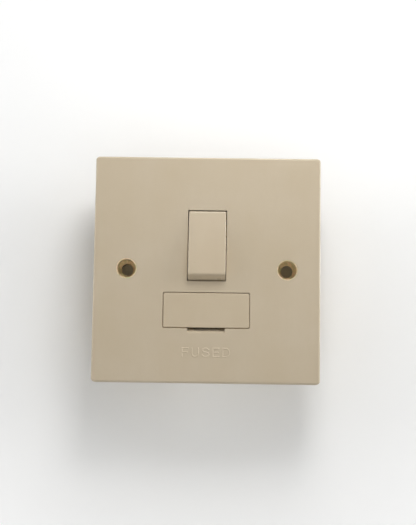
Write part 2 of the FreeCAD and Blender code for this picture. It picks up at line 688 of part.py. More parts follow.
def load_line_strip():
    """From the load clip's foot to under the load terminal."""
    foot_end = CLIP_X + CLIP_WIDTH / 2 + CLIP_FOOT
    foot_x = (foot_end - STRIP_NARROW, foot_end)
    top = -TERMINAL_Z + TERMINAL_HEIGHT / 2
    cross_z = (top + STRIP_RISE, top + STRIP_RISE + STRIP_LINK)
    tail_x = (TERMINAL_X - STRIP_NARROW / 2, TERMINAL_X + STRIP_NARROW)
    return flat_strip(
        (foot_x, (cross_z[0], FUSE_Z + CLIP_LEG_WIDTH / 2)),
        ((tail_x[0], foot_end), cross_z),
        (tail_x, (cross_z[0], top - STRIP_TAIL)),
    )


def fuse_clip(centre):
    """A sprung clip of folded sheet: two jaws with flared lips, a back, a leg down one side and a foot."""
    x = about(centre, CLIP_WIDTH / 2)
    lip_y = FUSE_Y - CLIP_LIP_START
    tip_y = lip_y - CLIP_LIP_LENGTH
    inner = [(tip_y, CLIP_JAW + CLIP_LIP_FLARE), (lip_y, CLIP_JAW), (CLIP_BACK_Y, CLIP_JAW)]
    back = CLIP_BACK_Y + CLIP_THICK
    outer = [(back, CLIP_JAW), (lip_y, CLIP_JAW), (tip_y, CLIP_JAW + CLIP_LIP_FLARE)]
    upper = inner[::-1] + [(y, z + CLIP_THICK) for y, z in outer[::-1]]
    lower = [(y, -z) for y, z in upper[::-1]]
    jaws = side_profile([(y, FUSE_Z + z) for y, z in lower + upper], x)
    leg_x = (x[1] - CUT / 2, x[1] + CLIP_LEG)
    leg_z = about(FUSE_Z, CLIP_LEG_WIDTH / 2)
    shoulder = box(leg_x, (CLIP_BACK_Y, back), leg_z)
    leg = box((x[1], x[1] + CLIP_LEG), (CLIP_BACK_Y, STRIP_Y), leg_z)
    foot = box((x[1], x[1] + CLIP_FOOT), (STRIP_Y - CLIP_LEG, STRIP_Y), leg_z)
    return joined(jaws, shoulder, leg, foot)


def terminal_block(x, z, front_y, rebate=None):
    """A brass block with a wire bore along Z, a screw hole from behind and a rebate for a strip's tail."""
    rear_y = front_y + TERMINAL_FRONT + TERMINAL_REAR
    block = box(about(x, TERMINAL_WIDTH / 2), (front_y, rear_y), about(z, TERMINAL_HEIGHT / 2))
    block = block.makeChamfer(TERMINAL_EDGE, [e for e in block.Edges if runs_along(e, 2)])
    axis_y = front_y + TERMINAL_FRONT
    holes = [
        upright(x, axis_y, WIRE_BORE_R, about(z, TERMINAL_HEIGHT / 2 + CUT)),
        disc(x, z, SCREW_HOLE_R, (axis_y, rear_y + CUT)),
    ]
    if rebate:
        holes.append(box(rebate[0], (rear_y - STRIP_THICK, rear_y + CUT), rebate[1]))
    return without(block, *holes)


def supply_terminal(side):
    """A terminal at the top of the housing."""
    bottom = TERMINAL_Z - TERMINAL_HEIGHT / 2
    rebate = (about(side * TERMINAL_X, STRIP_WIDTH / 2), (bottom - CUT, bottom + STRIP_TAIL))
    return terminal_block(side * TERMINAL_X, TERMINAL_Z, TERMINAL_Y, rebate)


def load_line_terminal():
    """The line terminal at the bottom, fed through the fuse."""
    top = -TERMINAL_Z + TERMINAL_HEIGHT / 2
    rebate = ((TERMINAL_X - STRIP_NARROW / 2, TERMINAL_X + STRIP_NARROW), (top + CUT, top - STRIP_TAIL))
    return terminal_block(TERMINAL_X, -TERMINAL_Z, TERMINAL_Y, rebate)


def load_neutral_terminal():
    """The neutral terminal at the bottom, fed from its inner side."""
    inner = -TERMINAL_X + TERMINAL_WIDTH / 2
    rebate = ((inner + CUT, inner - STRIP_TAIL), about(-TERMINAL_Z, STRIP_WIDTH / 2))
    return terminal_block(-TERMINAL_X, -TERMINAL_Z, TERMINAL_Y, rebate)


def earth_terminal(side):
    """An earth terminal on the strap's arm, with a spigot through the arm and a riveted head."""
    x = side * EARTH_X
    block = terminal_block(x, EARTH_Z, PAD_REAR_Y)
    spigot = disc(x, EARTH_Z, EARTH_SPIGOT_R, (PAD_REAR_Y, PAD_FRONT_Y))
    head = disc(x, EARTH_Z, EARTH_RIVET_R, (PAD_FRONT_Y, PAD_FRONT_Y - EARTH_RIVET))
    return joined(block, spigot, head)


def terminal_screw(x, z, rear_y, slot_angle):
    """A slotted brass screw, backed out so that the wire bore is open."""
    head_y = rear_y + SCREW_HEAD_MARGIN + SCREW_TRAVEL
    top_y = head_y + SCREW_HEAD
    tip_y = rear_y - TERMINAL_REAR + WIRE_BORE_R + SCREW_TIP_GAP
    edge = SCREW_HEAD_EDGE
    screw = turned(
        [
            (0, tip_y),
            (SCREW_CORE_R - SCREW_TIP_EDGE, tip_y),
            (SCREW_CORE_R, tip_y + SCREW_TIP_EDGE),
            (SCREW_CORE_R, head_y),
            (SCREW_HEAD_R, head_y),
            (SCREW_HEAD_R, top_y - edge),
            (SCREW_HEAD_R - edge, top_y),
            (0, top_y),
        ],
        x,
        z,
    )
    slot_y = (top_y - SCREW_SLOT_DEPTH, top_y + CUT)
    slot = box(about(x, SCREW_HEAD_R + CUT), slot_y, about(z, SCREW_SLOT / 2))
    slot.rotate(FreeCAD.Vector(x, 0, z), FreeCAD.Vector(0, 1, 0), slot_angle)
    return without(screw, slot)


def screw_cup(side):
    """The metal cup in a fixing hole: a cylinder, a coned seat and a spigot through the strap."""
    seat_y = FRONT_Y + CUP_SEAT_DEPTH
    inner_r = CUP_R - CUP_WALL
    cone_y = seat_y + inner_r - FIXING_HOLE_R
    spigot_r = FIXING_HOLE_R + CUP_SPIGOT_WALL
    return turned(
        [
            (CUP_R, FRONT_Y + CUP_SETBACK),
            (CUP_R, seat_y + CUP_WALL),
            (spigot_r, seat_y + CUP_WALL + CUP_R - spigot_r),
            (spigot_r, PAD_REAR_Y),
            (spigot_r + CUP_FLARE, PAD_REAR_Y),
            (spigot_r + CUP_FLARE, 0),
            (FIXING_HOLE_R, 0),
            (FIXING_HOLE_R, cone_y),
            (inner_r, seat_y),
            (inner_r, FRONT_Y + CUP_SETBACK),
        ],
        side * FIXING_X,
        0,
    )


def earth_strap():
    """One folded sheet: across the housing's back, forward along both sides, and out to the fixing holes."""
    pad_y = (PAD_FRONT_Y, PAD_REAR_Y)
    half = STRAP_WIDTH / 2
    leg = LEG_X + STRAP_THICK
    end_x = FIXING_X + STRAP_END
    arm_x = about(EARTH_X, TERMINAL_WIDTH / 2)
    arm_end = EARTH_Z - TERMINAL_HEIGHT / 2
    pieces = [box(about(0, leg), (STRAP_BACK_Y, STRAP_BACK_Y + STRAP_THICK), about(0, half))]
    holes = []
    leg_y = (PAD_FRONT_Y, STRAP_BACK_Y + STRAP_THICK)
    for side in SIDES:
        pieces.append(box((side * LEG_X, side * leg), leg_y, about(0, half)))
        pieces.append(box((side * LEG_X, side * end_x), pad_y, about(0, half)))
        pieces.append(box((side * arm_x[0], side * arm_x[1]), pad_y, (arm_end, 0)))
        spigot = FIXING_HOLE_R + CUP_SPIGOT_WALL + RUNNING_FIT
        holes.append(disc(side * FIXING_X, 0, spigot, (PAD_FRONT_Y - CUT, CUT)))
        holes.append(disc(side * EARTH_X, EARTH_Z, EARTH_SPIGOT_R + RUNNING_FIT, (PAD_FRONT_Y - CUT, CUT)))
    strap = joined(*pieces)

    def outer_bend(edge):
        """A fold's outer edge, at the back corners or where a leg meets its pad."""
        if not runs_along(edge, 2):
            return False
        back = lies_at(edge, 1, leg_y[1]) and any(lies_at(edge, 0, s * leg) for s in SIDES)
        front = lies_at(edge, 1, PAD_FRONT_Y) and any(lies_at(edge, 0, s * LEG_X) for s in SIDES)
        return back or front

    strap = rounded(strap, STRAP_BEND_R, outer_bend)
    return without(strap, *holes)


def fuse_tube():
    """The fuse's ceramic body, which runs into both caps."""
    end = FUSE_LENGTH / 2 - FUSE_CAP_END
    return cross_rod(FUSE_Y, FUSE_Z, FUSE_TUBE_R, about(0, end))


def fuse_cap(side):
    """A drawn metal cap on one end of the fuse."""
    end = side * FUSE_LENGTH / 2
    mouth = end - side * FUSE_CAP_LENGTH
    cap = cross_rod(FUSE_Y, FUSE_Z, FUSE_CAP_R, (mouth, end))
    cap = rounded(cap, FUSE_CAP_EDGE_R, lambda e: lies_at(e, 0, end))
    bore_x = (mouth - side * CUT, end - side * FUSE_CAP_END)
    return without(cap, cross_rod(FUSE_Y, FUSE_Z, FUSE_TUBE_R + FUSE_TUBE_FIT, bore_x))


def cradle(side):
    """A cross wall of the carrier with a round seat for the fuse, which it snaps into from behind."""
    x = about(side * CRADLE_X, CRADLE_WALL / 2)
    half = CARRIER_HEIGHT / 2 - CARRIER_INSET - CARRIER_WALL / 2
    wall = box(x, (FRONT_Y + CARRIER_COVER / 2, FUSE_Y + CRADLE_LIP), about(FUSE_Z, half))
    seat = cross_rod(FUSE_Y, FUSE_Z, FUSE_TUBE_R + CRADLE_GAP, x)
    mouth = box(x, (FUSE_Y, FUSE_Y + CRADLE_LIP + CUT), about(FUSE_Z, FUSE_TUBE_R - CRADLE_SNAP))
    return without(wall, seat, mouth)


def fuse_carrier():
    """Cover, frame, runners and cradle of the pull-out fuse carrier, in one moulding."""
    half_x, half_z = CARRIER_WIDTH / 2, CARRIER_HEIGHT / 2
    cover_back = FRONT_Y + CARRIER_COVER
    cover = box(about(0, half_x), (FRONT_Y, cover_back), about(FUSE_Z, half_z))
    cover = rounded(cover, CARRIER_CORNER_R, lambda e: runs_along(e, 1))
    cover = rounded(cover, CARRIER_EDGE_R, lambda e: lies_at(e, 1, FRONT_Y))
    frame_x, frame_z = half_x - CARRIER_INSET, half_z - CARRIER_INSET
    frame_y = (cover_back - CARRIER_COVER / 2, CARRIER_BACK_Y)
    inside_y = (cover_back, CARRIER_BACK_Y + CUT)
    frame = without(
        box(about(0, frame_x), frame_y, about(FUSE_Z, frame_z)),
        box(about(0, frame_x - CARRIER_WALL), inside_y, about(FUSE_Z, frame_z - CARRIER_WALL)),
    )
    runner_z = CHUTE_HALF_Z - CARRIER_RUNNER_GAP
    runners = []
    for side in SIDES:
        for end in SIDES:
            x = about(side * CLIP_X, CARRIER_RUNNER / 2)
            z = (FUSE_Z + end * (frame_z - CARRIER_WALL / 2), FUSE_Z + end * runner_z)
            runners.append(box(x, (cover_back, CARRIER_BACK_Y), z))
    return joined(cover, frame, cradle(LEFT), cradle(RIGHT), *runners)


def housing_shell():
    """The housing's walls and floor, open to the plate."""
    half_x, half_z = HOUSING_WIDTH / 2, HOUSING_HEIGHT / 2
    rim_y = INNER_Y + HOUSING_RIM_GAP
    outside = box(about(0, half_x), (rim_y, BACK_Y), about(0, half_z))
    outside = rounded(outside, HOUSING_CORNER_R, lambda e: runs_along(e, 1))
    inner_x, inner_z = half_x - HOUSING_WALL, half_z - HOUSING_WALL
    return without(outside, box(about(0, inner_x), (rim_y - CUT, FLOOR_Y), about(0, inner_z)))


def terminal_pocket(x, z):
    """The two ribs that keep one terminal block in its corner of the housing."""
    side, end = math.copysign(1, x), math.copysign(1, z)
    inner_x = TERMINAL_X - TERMINAL_WIDTH / 2 - TERMINAL_FIT
    inner_z = TERMINAL_Z - TERMINAL_HEIGHT / 2 - TERMINAL_FIT
    wall_x = HOUSING_WIDTH / 2 - HOUSING_WALL / 2
    wall_z = HOUSING_HEIGHT / 2 - HOUSING_WALL / 2
    root = FLOOR_Y + HOUSING_FLOOR / 2
    beside = box(
        (side * inner_x, side * (inner_x - HOUSING_RIB)),
        (TERMINAL_Y, root),
        (end * (inner_z - HOUSING_RIB), end * wall_z),
    )
    across = box(
        (side * (inner_x - HOUSING_RIB), side * wall_x),
        (TERMINAL_Y, STRIP_Y - TERMINAL_FIT),
        (end * (inner_z - HOUSING_RIB), end * inner_z),
    )
    return [beside, across]


def rear_housing():
    """Walls, floor, screw columns, terminal pockets, barrier between poles, clip posts and screw chimneys."""
    root = FLOOR_Y + HOUSING_FLOOR / 2
    added, removed = [], []
    wall_x = HOUSING_WIDTH / 2 - HOUSING_WALL / 2
    wall_z = HOUSING_HEIGHT / 2 - HOUSING_WALL / 2
    for x, z in screw_places():
        column_y = (COLUMN_FRONT_Y, root)
        added.append(disc(x, z, COLUMN_R, column_y))
        added.append(box((x, math.copysign(wall_x, x)), column_y, (z, math.copysign(wall_z, z))))
        removed.append(disc(x, z, HOUSING_SCREW_R + HOUSING_SCREW_FIT, (COLUMN_FRONT_Y - CUT, BACK_Y + CUT)))
        removed.append(disc(x, z, COUNTERBORE_R, (HOUSING_HEAD_Y, BACK_Y + CUT)))
    for x, z in terminal_places():
        added += terminal_pocket(x, z)
        added.append(disc(x, z, CHIMNEY_BORE_R + CHIMNEY_WALL, (root, CHIMNEY_Y)))
        removed.append(disc(x, z, CHIMNEY_BORE_R, (FLOOR_Y - CUT / 2, CHIMNEY_Y + CUT)))
        window_z = about(math.copysign(wall_z, z), HOUSING_WALL / 2 + CUT / 2)
        removed.append(box(about(x, WIRE_WINDOW / 2), about(WIRE_AXIS_Y, WIRE_WINDOW / 2), window_z))
    strap_z = STRAP_WIDTH / 2 + STRAP_SIDE_GAP
    for end in SIDES:
        z = (end * strap_z, end * (strap_z + STRAP_RIB))
        added.append(box(about(0, HOUSING_WIDTH / 2 - HOUSING_CORNER_R), (root, BACK_Y + STRAP_THICK), z))
    barrier_z = (-TERMINAL_Z + TERMINAL_HEIGHT / 2, PIVOT_Z + BAR_HEAD + CUT)
    barrier_front = PIVOT_Y + PLUNGER_SHOULDER
    added.append(box(about(0, POLE_BARRIER / 2), (barrier_front, root), barrier_z))
    post_front = PIVOT_Y + TRUNNION_R + 2 * RUNNING_FIT
    post_x = (APERTURE_HALF + RUNNING_FIT, APERTURE_HALF + WELL_WALL - RUNNING_FIT)
    clip_y = (CLIP_BACK_Y + CLIP_THICK, root)
    post_z = about(PIVOT_Z, TRUNNION_R - RUNNING_FIT)
    for side in SIDES:
        added.append(box((side * post_x[0], side * post_x[1]), (post_front, root), post_z))
        x = about(side * CLIP_X, CLIP_WIDTH / 2 - CLIP_POST_GAP)
        added.append(box(x, clip_y, about(FUSE_Z, CLIP_LEG_WIDTH / 2)))
    # The neutral strip passes through the rib beside its terminal
    tail = about(-TERMINAL_Z, STRIP_WIDTH / 2 + TERMINAL_FIT)
    rib_x = -TERMINAL_X + TERMINAL_WIDTH / 2 + TERMINAL_FIT
    removed.append(box((rib_x, rib_x + HOUSING_RIB), (STRIP_Y - TERMINAL_FIT, FLOOR_Y), tail))
    return without(joined(housing_shell(), *added), *removed)


def housing_screw(x, z):
    """A pan-head screw with a cross recess, driven from behind into the plate's pillar."""
    point_y = COLUMN_FRONT_Y - HOUSING_SCREW_GRIP
    top_y = HOUSING_HEAD_Y + HOUSING_SCREW_HEAD
    screw = turned(
        [
            (0, point_y),
            (HOUSING_SCREW_R, point_y + HOUSING_SCREW_POINT),
            (HOUSING_SCREW_R, HOUSING_HEAD_Y),
            (HOUSING_SCREW_HEAD_R, HOUSING_HEAD_Y),
            (HOUSING_SCREW_HEAD_R, HOUSING_HEAD_Y + HOUSING_SCREW_RIM),
            (HOUSING_SCREW_CROWN_R, top_y),
            (0, top_y),
        ],
        x,
        z,
    )
    recess_y = (top_y - RECESS_DEPTH, top_y + CUT)
    long_arm, short_arm = RECESS_SPAN / 2, RECESS_WIDTH / 2
    return without(
        screw,
        box(about(x, long_arm), recess_y, about(z, short_arm)),
        box(about(x, short_arm), recess_y, about(z, long_arm)),
    )


def housing_screws():
    """The four alike screws, as one group."""
    return Part.makeCompound([housing_screw(x, z) for x, z in screw_places()])


def parts():
    """Every piece of the unit under its name."""
    return {
        "front_plate": front_plate(),
        "rear_housing": rear_housing(),
        "rocker": rocker(),
        "line_plunger": plunger(LEFT),
        "neutral_plunger": plunger(RIGHT),
        "line_plunger_spring": plunger_spring(LEFT),
        "neutral_plunger_spring": plunger_spring(RIGHT),
        "line_contact_bar": contact_bar(LEFT),
        "neutral_contact_bar": contact_bar(RIGHT),
        "line_moving_contact": moving_contact(LEFT),
        "neutral_moving_contact": moving_contact(RIGHT),
        "line_fixed_contact": fixed_contact(LEFT),
        "neutral_fixed_contact": fixed_contact(RIGHT),
        "supply_line_strip": supply_strip(LEFT),
        "supply_neutral_strip": supply_strip(RIGHT),
        "line_pivot_strip": line_pivot_strip(),
        "neutral_pivot_strip": neutral_pivot_strip(),
        "load_line_strip": load_line_strip(),
        "supply_fuse_clip": fuse_clip(-CLIP_X),
        "load_fuse_clip": fuse_clip(CLIP_X),
        "supply_line_terminal": supply_terminal(LEFT),
        "supply_neutral_terminal": supply_terminal(RIGHT),
        "load_line_terminal": load_line_terminal(),
        "load_neutral_terminal": load_neutral_terminal(),
        "left_earth_terminal": earth_terminal(LEFT),
        "right_earth_terminal": earth_terminal(RIGHT),
        "supply_line_screw": terminal_screw(-TERMINAL_X, TERMINAL_Z, FLOOR_Y, 35),
        "supply_neutral_screw": terminal_screw(TERMINAL_X, TERMINAL_Z, FLOOR_Y, -20),
        "load_line_screw": terminal_screw(TERMINAL_X, -TERMINAL_Z, FLOOR_Y, 70),
        "load_neutral_screw": terminal_screw(-TERMINAL_X, -TERMINAL_Z, FLOOR_Y, 10),
        "left_earth_screw": terminal_screw(-EARTH_X, EARTH_Z, EARTH_REAR_Y, 50),
        "right_earth_screw": terminal_screw(EARTH_X, EARTH_Z, EARTH_REAR_Y, -60),
        "earth_strap": earth_strap(),
        "left_screw_cup": screw_cup(LEFT),
        "right_screw_cup": screw_cup(RIGHT),
        "fuse_carrier": fuse_carrier(),
        "fuse_tube": fuse_tube(),
        "left_fuse_cap": fuse_cap(LEFT),
        "right_fuse_cap": fuse_cap(RIGHT),
        "housing_screws": housing_screws(),
    }


os.makedirs("parts", exist_ok=True)
for name, shape in parts().items():
    bounds = shape.BoundBox
    print(
        f"{name}: {len(shape.Solids)} solid, {shape.Volume:.1f} mm3,"
        f" {bounds.XLength:.1f} x {bounds.YLength:.1f} x {bounds.ZLength:.1f} mm, valid {shape.isValid()}"
    )
    shape.exportStep(f"parts/{name}.step")
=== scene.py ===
"""Looks of a switched fused spur unit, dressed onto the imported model.

Metres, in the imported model's own frame: +X is right as seen from the front, +Z is up and the front faces -Y.
The origin is on the wall plane, where the plate's rear rim lies, midway between the two fixing holes.
"""

import logging
import math
from dataclasses import dataclass
from enum import Enum
from itertools import product

import bmesh
import bpy
import numpy as np
from mathutils import Matrix, Vector


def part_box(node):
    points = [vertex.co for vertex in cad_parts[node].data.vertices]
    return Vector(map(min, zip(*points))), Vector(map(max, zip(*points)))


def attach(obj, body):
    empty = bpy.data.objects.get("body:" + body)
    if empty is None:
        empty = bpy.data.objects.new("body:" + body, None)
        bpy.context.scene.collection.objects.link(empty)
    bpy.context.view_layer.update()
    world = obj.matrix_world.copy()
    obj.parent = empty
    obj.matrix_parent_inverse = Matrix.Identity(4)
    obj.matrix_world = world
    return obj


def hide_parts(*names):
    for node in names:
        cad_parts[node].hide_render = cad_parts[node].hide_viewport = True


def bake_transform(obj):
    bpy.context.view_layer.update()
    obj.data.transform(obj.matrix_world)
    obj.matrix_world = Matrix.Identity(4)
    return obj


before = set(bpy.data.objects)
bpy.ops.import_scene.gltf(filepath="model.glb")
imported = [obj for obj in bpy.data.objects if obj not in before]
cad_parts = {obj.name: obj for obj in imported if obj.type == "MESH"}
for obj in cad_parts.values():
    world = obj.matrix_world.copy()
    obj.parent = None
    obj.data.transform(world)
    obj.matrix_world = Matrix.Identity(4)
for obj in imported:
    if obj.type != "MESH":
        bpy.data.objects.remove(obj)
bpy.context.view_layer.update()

Pair = tuple[float, float]
Triple = tuple[float, float, float]
Colour = tuple[float, float, float, float]
Socket = bpy.types.NodeSocket
Material = bpy.types.Material
Value = float | Triple | Colour | Socket
Axis = tuple[float | np.ndarray, float | np.ndarray]

LOG = logging.getLogger("fused_spur_unit")
MM = 0.001
MICRON = 0.000001
FULL_TURN = 2 * math.pi
SIDES = (-1, 1)
MERGE_DISTANCE = 0.2 * MICRON
SHARP_ANGLE = math.radians(38)
WHITE: Colour = (1.0, 1.0, 1.0, 1.0)
# The part of a noise's range that nearly all of it lies in
NOISE_ENDS: Pair = (0.3, 0.7)
# Depths that no part of the unit reaches
NOWHERE: Pair = (1.0, 2.0)


def linear(*display: float) -> Colour:
    """Turns a display colour into a linear one, by the standard curve of displays.

    Args:
        display: the values of red, green and blue, 0 to 255.

    Returns:
        The linear colour and an alpha of 1.
    """
    shown = np.array(display) / 255
    low, high = shown / 12.92, ((shown + 0.055) / 1.055) ** 2.4
    return (*(float(v) for v in np.where(shown <= 0.04045, low, high)), 1.0)


def dimmed(colour: Colour, light: float) -> Colour:
    """Returns a colour with its light held down to a share."""
    return (*(v * light for v in colour[:3]), 1.0)


def put(name: str, data: bpy.types.ID) -> bpy.types.Object:
    """Makes an object and puts it in the scene.

    Args:
        name: its name.
        data: its mesh, lamp or camera.

    Returns:
        The object, at the origin.
    """
    thing = bpy.data.objects.new(name, data)
    bpy.context.scene.collection.objects.link(thing)
    return thing


def once_round(points: int) -> np.ndarray:
    """Returns even angles once round a circle, without the last, which is the first again."""
    return np.linspace(0, FULL_TURN, points, endpoint=False)


def middle_of(node: str) -> Vector:
    """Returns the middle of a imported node's box at rest."""
    low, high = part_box(node)
    return (low + high) / 2


class Lay(Enum):
    """The way that the fine lines of a worked metal run, as the stretch of its grain along X, Y and Z."""

    ALONG_X = (0.03, 1.0, 1.0)
    ALONG_Y = (1.0, 0.03, 1.0)
    ALONG_Z = (1.0, 1.0, 0.03)
    ROUND_X = (1.0, 0.02, 0.02)


class Facing(Enum):
    """The side of the unit that raised lettering is read from, as the sign of its run along X."""

    FRONT = 1
    BACK = -1


@dataclass(frozen=True)
class Pattern:
    """A noise whose spots are about one size across.

    Its detail says how many finer layers lie on it, and its stretch scales it along X, Y and Z. As spots it
    begins and is full at two ends, and comes up to a share. As a relief it has a real depth in metres.
    """

    size: float
    detail: float = 2.0
    ends: Pair = NOISE_ENDS
    share: float = 1.0
    stretch: Triple = (1.0, 1.0, 1.0)
    depth: float = 0.0


class Graph:
    """A node tree, put together from small named steps."""

    def __init__(self, tree: bpy.types.NodeTree) -> None:
        """Starts in a tree, which it empties."""
        self.tree = tree
        self.tree.nodes.clear()

    def feed(self, socket: Socket, value: Value) -> None:
        """Gives an input its value.

        Args:
            socket: the input.
            value: another node's output, which is linked, or a constant, which is set on the input itself.
        """
        if isinstance(value, bpy.types.NodeSocket):
            self.tree.links.new(value, socket)
        else:
            socket.default_value = value

    def node(self, kind: str, operation: str = "", *inputs: Value, **named: Value) -> bpy.types.Node:
        """Adds a node.

        Args:
            kind: its type, without the word ShaderNode.
            operation: what it does, where its type can do more than one thing.
            inputs: values for its first inputs, in order.
            named: values for inputs by name, with _ for a space.

        Returns:
            The node.
        """
        node = self.tree.nodes.new(f"ShaderNode{kind}")
        if operation:
            node.operation = operation
        for socket, value in zip(node.inputs, inputs):
            self.feed(socket, value)
        for name, value in named.items():
            self.feed(node.inputs[name.replace("_", " ")], value)
        return node

    def between(self, value: Socket, ends: Pair, low: float, high: float) -> Socket:
        """Maps a value between two ends to a low and a high.

        Args:
            value: the value to map.
            ends: the values that become low and high.
            low: the result at the first end.
            high: the result at the second end.

        Returns:
            The mapped value, held between low and high.
        """
        span = {"From_Min": ends[0], "From_Max": ends[1], "To_Min": low, "To_Max": high}
        return self.node("MapRange", Value=value, **span).outputs["Result"]

    def layered(self, share: Socket, first: Socket, second: Socket) -> Socket:
        """Returns the mix of two surfaces, the second by a share and the first by the rest."""
        return self.node("MixShader", "", share, first, second).outputs[0]


class Shading(Graph):
    """A material's node graph."""

    def __init__(self, name: str) -> None:
        """Starts a material.

        Args:
            name: the material's name.
        """
        self.material = bpy.data.materials.new(name)
        self.material.use_nodes = True
        super().__init__(self.material.node_tree)
        self.place = self.node("TexCoord").outputs["Object"]

    def from_axis(self, x: float, z: float) -> Socket:
        """Gives the distance from the nearest of the lines along Y that lie at plus or minus x and z.

        Args:
            x: the axis's distance from the unit's middle, in metres.
            z: the axis's height, in metres, the same above and below.

        Returns:
            The distance as a value.
        """
        folded = self.node("VectorMath", "ABSOLUTE", self.place).outputs[0]
        moved = self.node("VectorMath", "SUBTRACT", folded, (abs(x), 0, abs(z))).outputs[0]
        flat = self.node("VectorMath", "MULTIPLY", moved, (1, 0, 1)).outputs[0]
        return self.node("VectorMath", "LENGTH", flat).outputs["Value"]

    def from_middle(self) -> Socket:
        """Returns the distance from the unit's middle in metres."""
        return self.node("VectorMath", "LENGTH", self.place).outputs["Value"]

    def depth(self) -> Socket:
        """Returns how far back a point lies, its Y in metres."""
        return self.node("SeparateXYZ", "", self.place).outputs["Y"]

    def noise(self, pattern: Pattern) -> Socket:
        """Returns a pattern's noise, from 0 to 1, which runs long where the pattern's stretch is small."""
        place = self.node("Mapping", Vector=self.place, Scale=pattern.stretch).outputs["Vector"]
        return self.node("TexNoise", Vector=place, Scale=1 / pattern.size, Detail=pattern.detail).outputs[0]

    def spots(self, pattern: Pattern) -> Socket:
        """Returns soft-edged spots where a pattern's noise is strong, from 0 to its share."""
        return self.between(self.noise(pattern), pattern.ends, 0, pattern.share)

    def relief(self, pattern: Pattern, under: Socket | None = None) -> Socket:
        """Returns the normal of a pattern's relief, which lies on another normal if there is one."""
        return self.bump(self.noise(pattern), pattern.depth, under)

    def uneven(self, noise: Socket, level: float, spread: Pair) -> Socket:
        """Returns a level that a noise takes down and up, by as much as the two parts of the spread."""
        return self.between(noise, NOISE_ENDS, level - spread[0], level + spread[1])

    def rings(self, distance: Socket, pitch: float) -> Socket:
        """Returns turning rings: the sine of a distance, once round for each pitch."""
        scaled = self.node("Math", "MULTIPLY", distance, FULL_TURN / pitch).outputs[0]
        return self.node("Math", "SINE", scaled).outputs[0]

    def colours(self, value: Socket, stops: list[tuple[float, Colour]]) -> Socket:
        """Turns a value into a colour through a ramp.

        Args:
            value: the value from 0 to 1.
            stops: places on the ramp with their linear colours.

        Returns:
            The colour.
        """
        node = self.node("ValToRGB", Fac=value)
        while len(node.color_ramp.elements) < len(stops):
            node.color_ramp.elements.new(0.5)
        for element, (place, colour) in zip(node.color_ramp.elements, stops):
            element.position = place
            element.color = colour
        return node.outputs["Color"]

    def mixed(self, share: Socket, first: Socket | Colour, second: Socket | Colour) -> Socket:
        """Mixes two colours by a share.

        Args:
            share: the second colour's share.
            first: the colour at a share of 0.
            second: the colour at a share of 1.

        Returns:
            The mixed colour.
        """
        node = self.node("Mix")
        node.data_type = "RGBA"
        self.feed(node.inputs["Factor"], share)
        for name, colour in (("A", first), ("B", second)):
            self.feed(next(s for s in node.inputs if s.name == name and s.type == "RGBA"), colour)
        return next(s for s in node.outputs if s.type == "RGBA")

    def bump(self, height: Socket, depth: float, under: Socket | None = None) -> Socket:
        """Turns a height into a surface normal.

        Args:
            height: the height as a value from 0 to 1.
            depth: the real depth in metres of a height of 1.
            under: a normal that this bump lies on, if there is one.

        Returns:
            The normal.
        """
        node = self.node("Bump", Height=height, Strength=1.0, Distance=depth)
        if under is not None:
            self.feed(node.inputs["Normal"], under)
        return node.outputs["Normal"]

    def matt(self, colour: Colour) -> Socket:
        """Returns a matt surface of one colour."""
        return self.node("BsdfDiffuse", Color=colour).outputs[0]

    def clear(self) -> Socket:
        """Returns a surface that lets everything through."""
        return self.node("BsdfTransparent").outputs[0]

    def front_only(self, surface: Socket) -> Socket:
        """Returns a surface that is clear when it is seen from its back."""
        return self.layered(self.node("NewGeometry").outputs["Backfacing"], surface, self.clear())

    def ended(self, surface: Socket) -> Material:
        """Returns the material, with its finished surface linked to its output."""
        self.node("OutputMaterial", Surface=surface)
        return self.material

    def finish(self, colour: Socket, roughness: Socket, normal: Socket, **plain: float) -> Material:
        """Makes a principled surface and ends the material with it.

        Args:
            colour: the base colour.
            roughness: the roughness.
            normal: the normal.
            plain: constants for the surface's other inputs.

        Returns:
            The material.
        """
        inputs = {"Base_Color": colour, "Roughness": roughness, "Normal": normal, **plain}
        return self.ended(self.node("BsdfPrincipled", **inputs).outputs["BSDF"])


@dataclass(frozen=True)
class MouldedPlastic:
    """A moulded plastic: a tint with slow clouding and flow marks, fine flecks, and the mould's own grain."""

    name: str
    tint: Colour
    clouded: Colour
    roughness: float = 0.36
    sheen: Pattern = Pattern(7 * MM, 3)
    sheen_spread: Pair = (0.05, 0.06)
    clouds: Pattern = Pattern(19 * MM, 3, (0.32, 0.68))
    flow: Pattern = Pattern(3.2 * MM, 3, (0.45, 0.75), 0.35, (1.0, 1.0, 0.18))
    flecks: Pattern = Pattern(0.35 * MM, 1, (0.55, 0.85), 0.5)
    fleck_light: float = 0.9
    ripple: Pattern = Pattern(1.6 * MM, depth=5 * MICRON)
    grain: Pattern = Pattern(0.16 * MM, depth=2.2 * MICRON)
    refraction: float = 1.5

    def build(self) -> Material:
        """Makes the finish: clouds, flow marks and flecks in the colour, ripple and grain in the normal.

        Returns:
            The material.
        """
        s = Shading(self.name)
        body = s.mixed(s.spots(self.clouds), self.tint, self.clouded)
        body = s.mixed(s.spots(self.flow), body, self.clouded)
        body = s.mixed(s.spots(self.flecks), body, dimmed(self.tint, self.fleck_light))
        rough = s.uneven(s.noise(self.sheen), self.roughness, self.sheen_spread)
        return s.finish(body, rough, s.relief(self.grain, s.relief(self.ripple)), IOR=self.refraction)


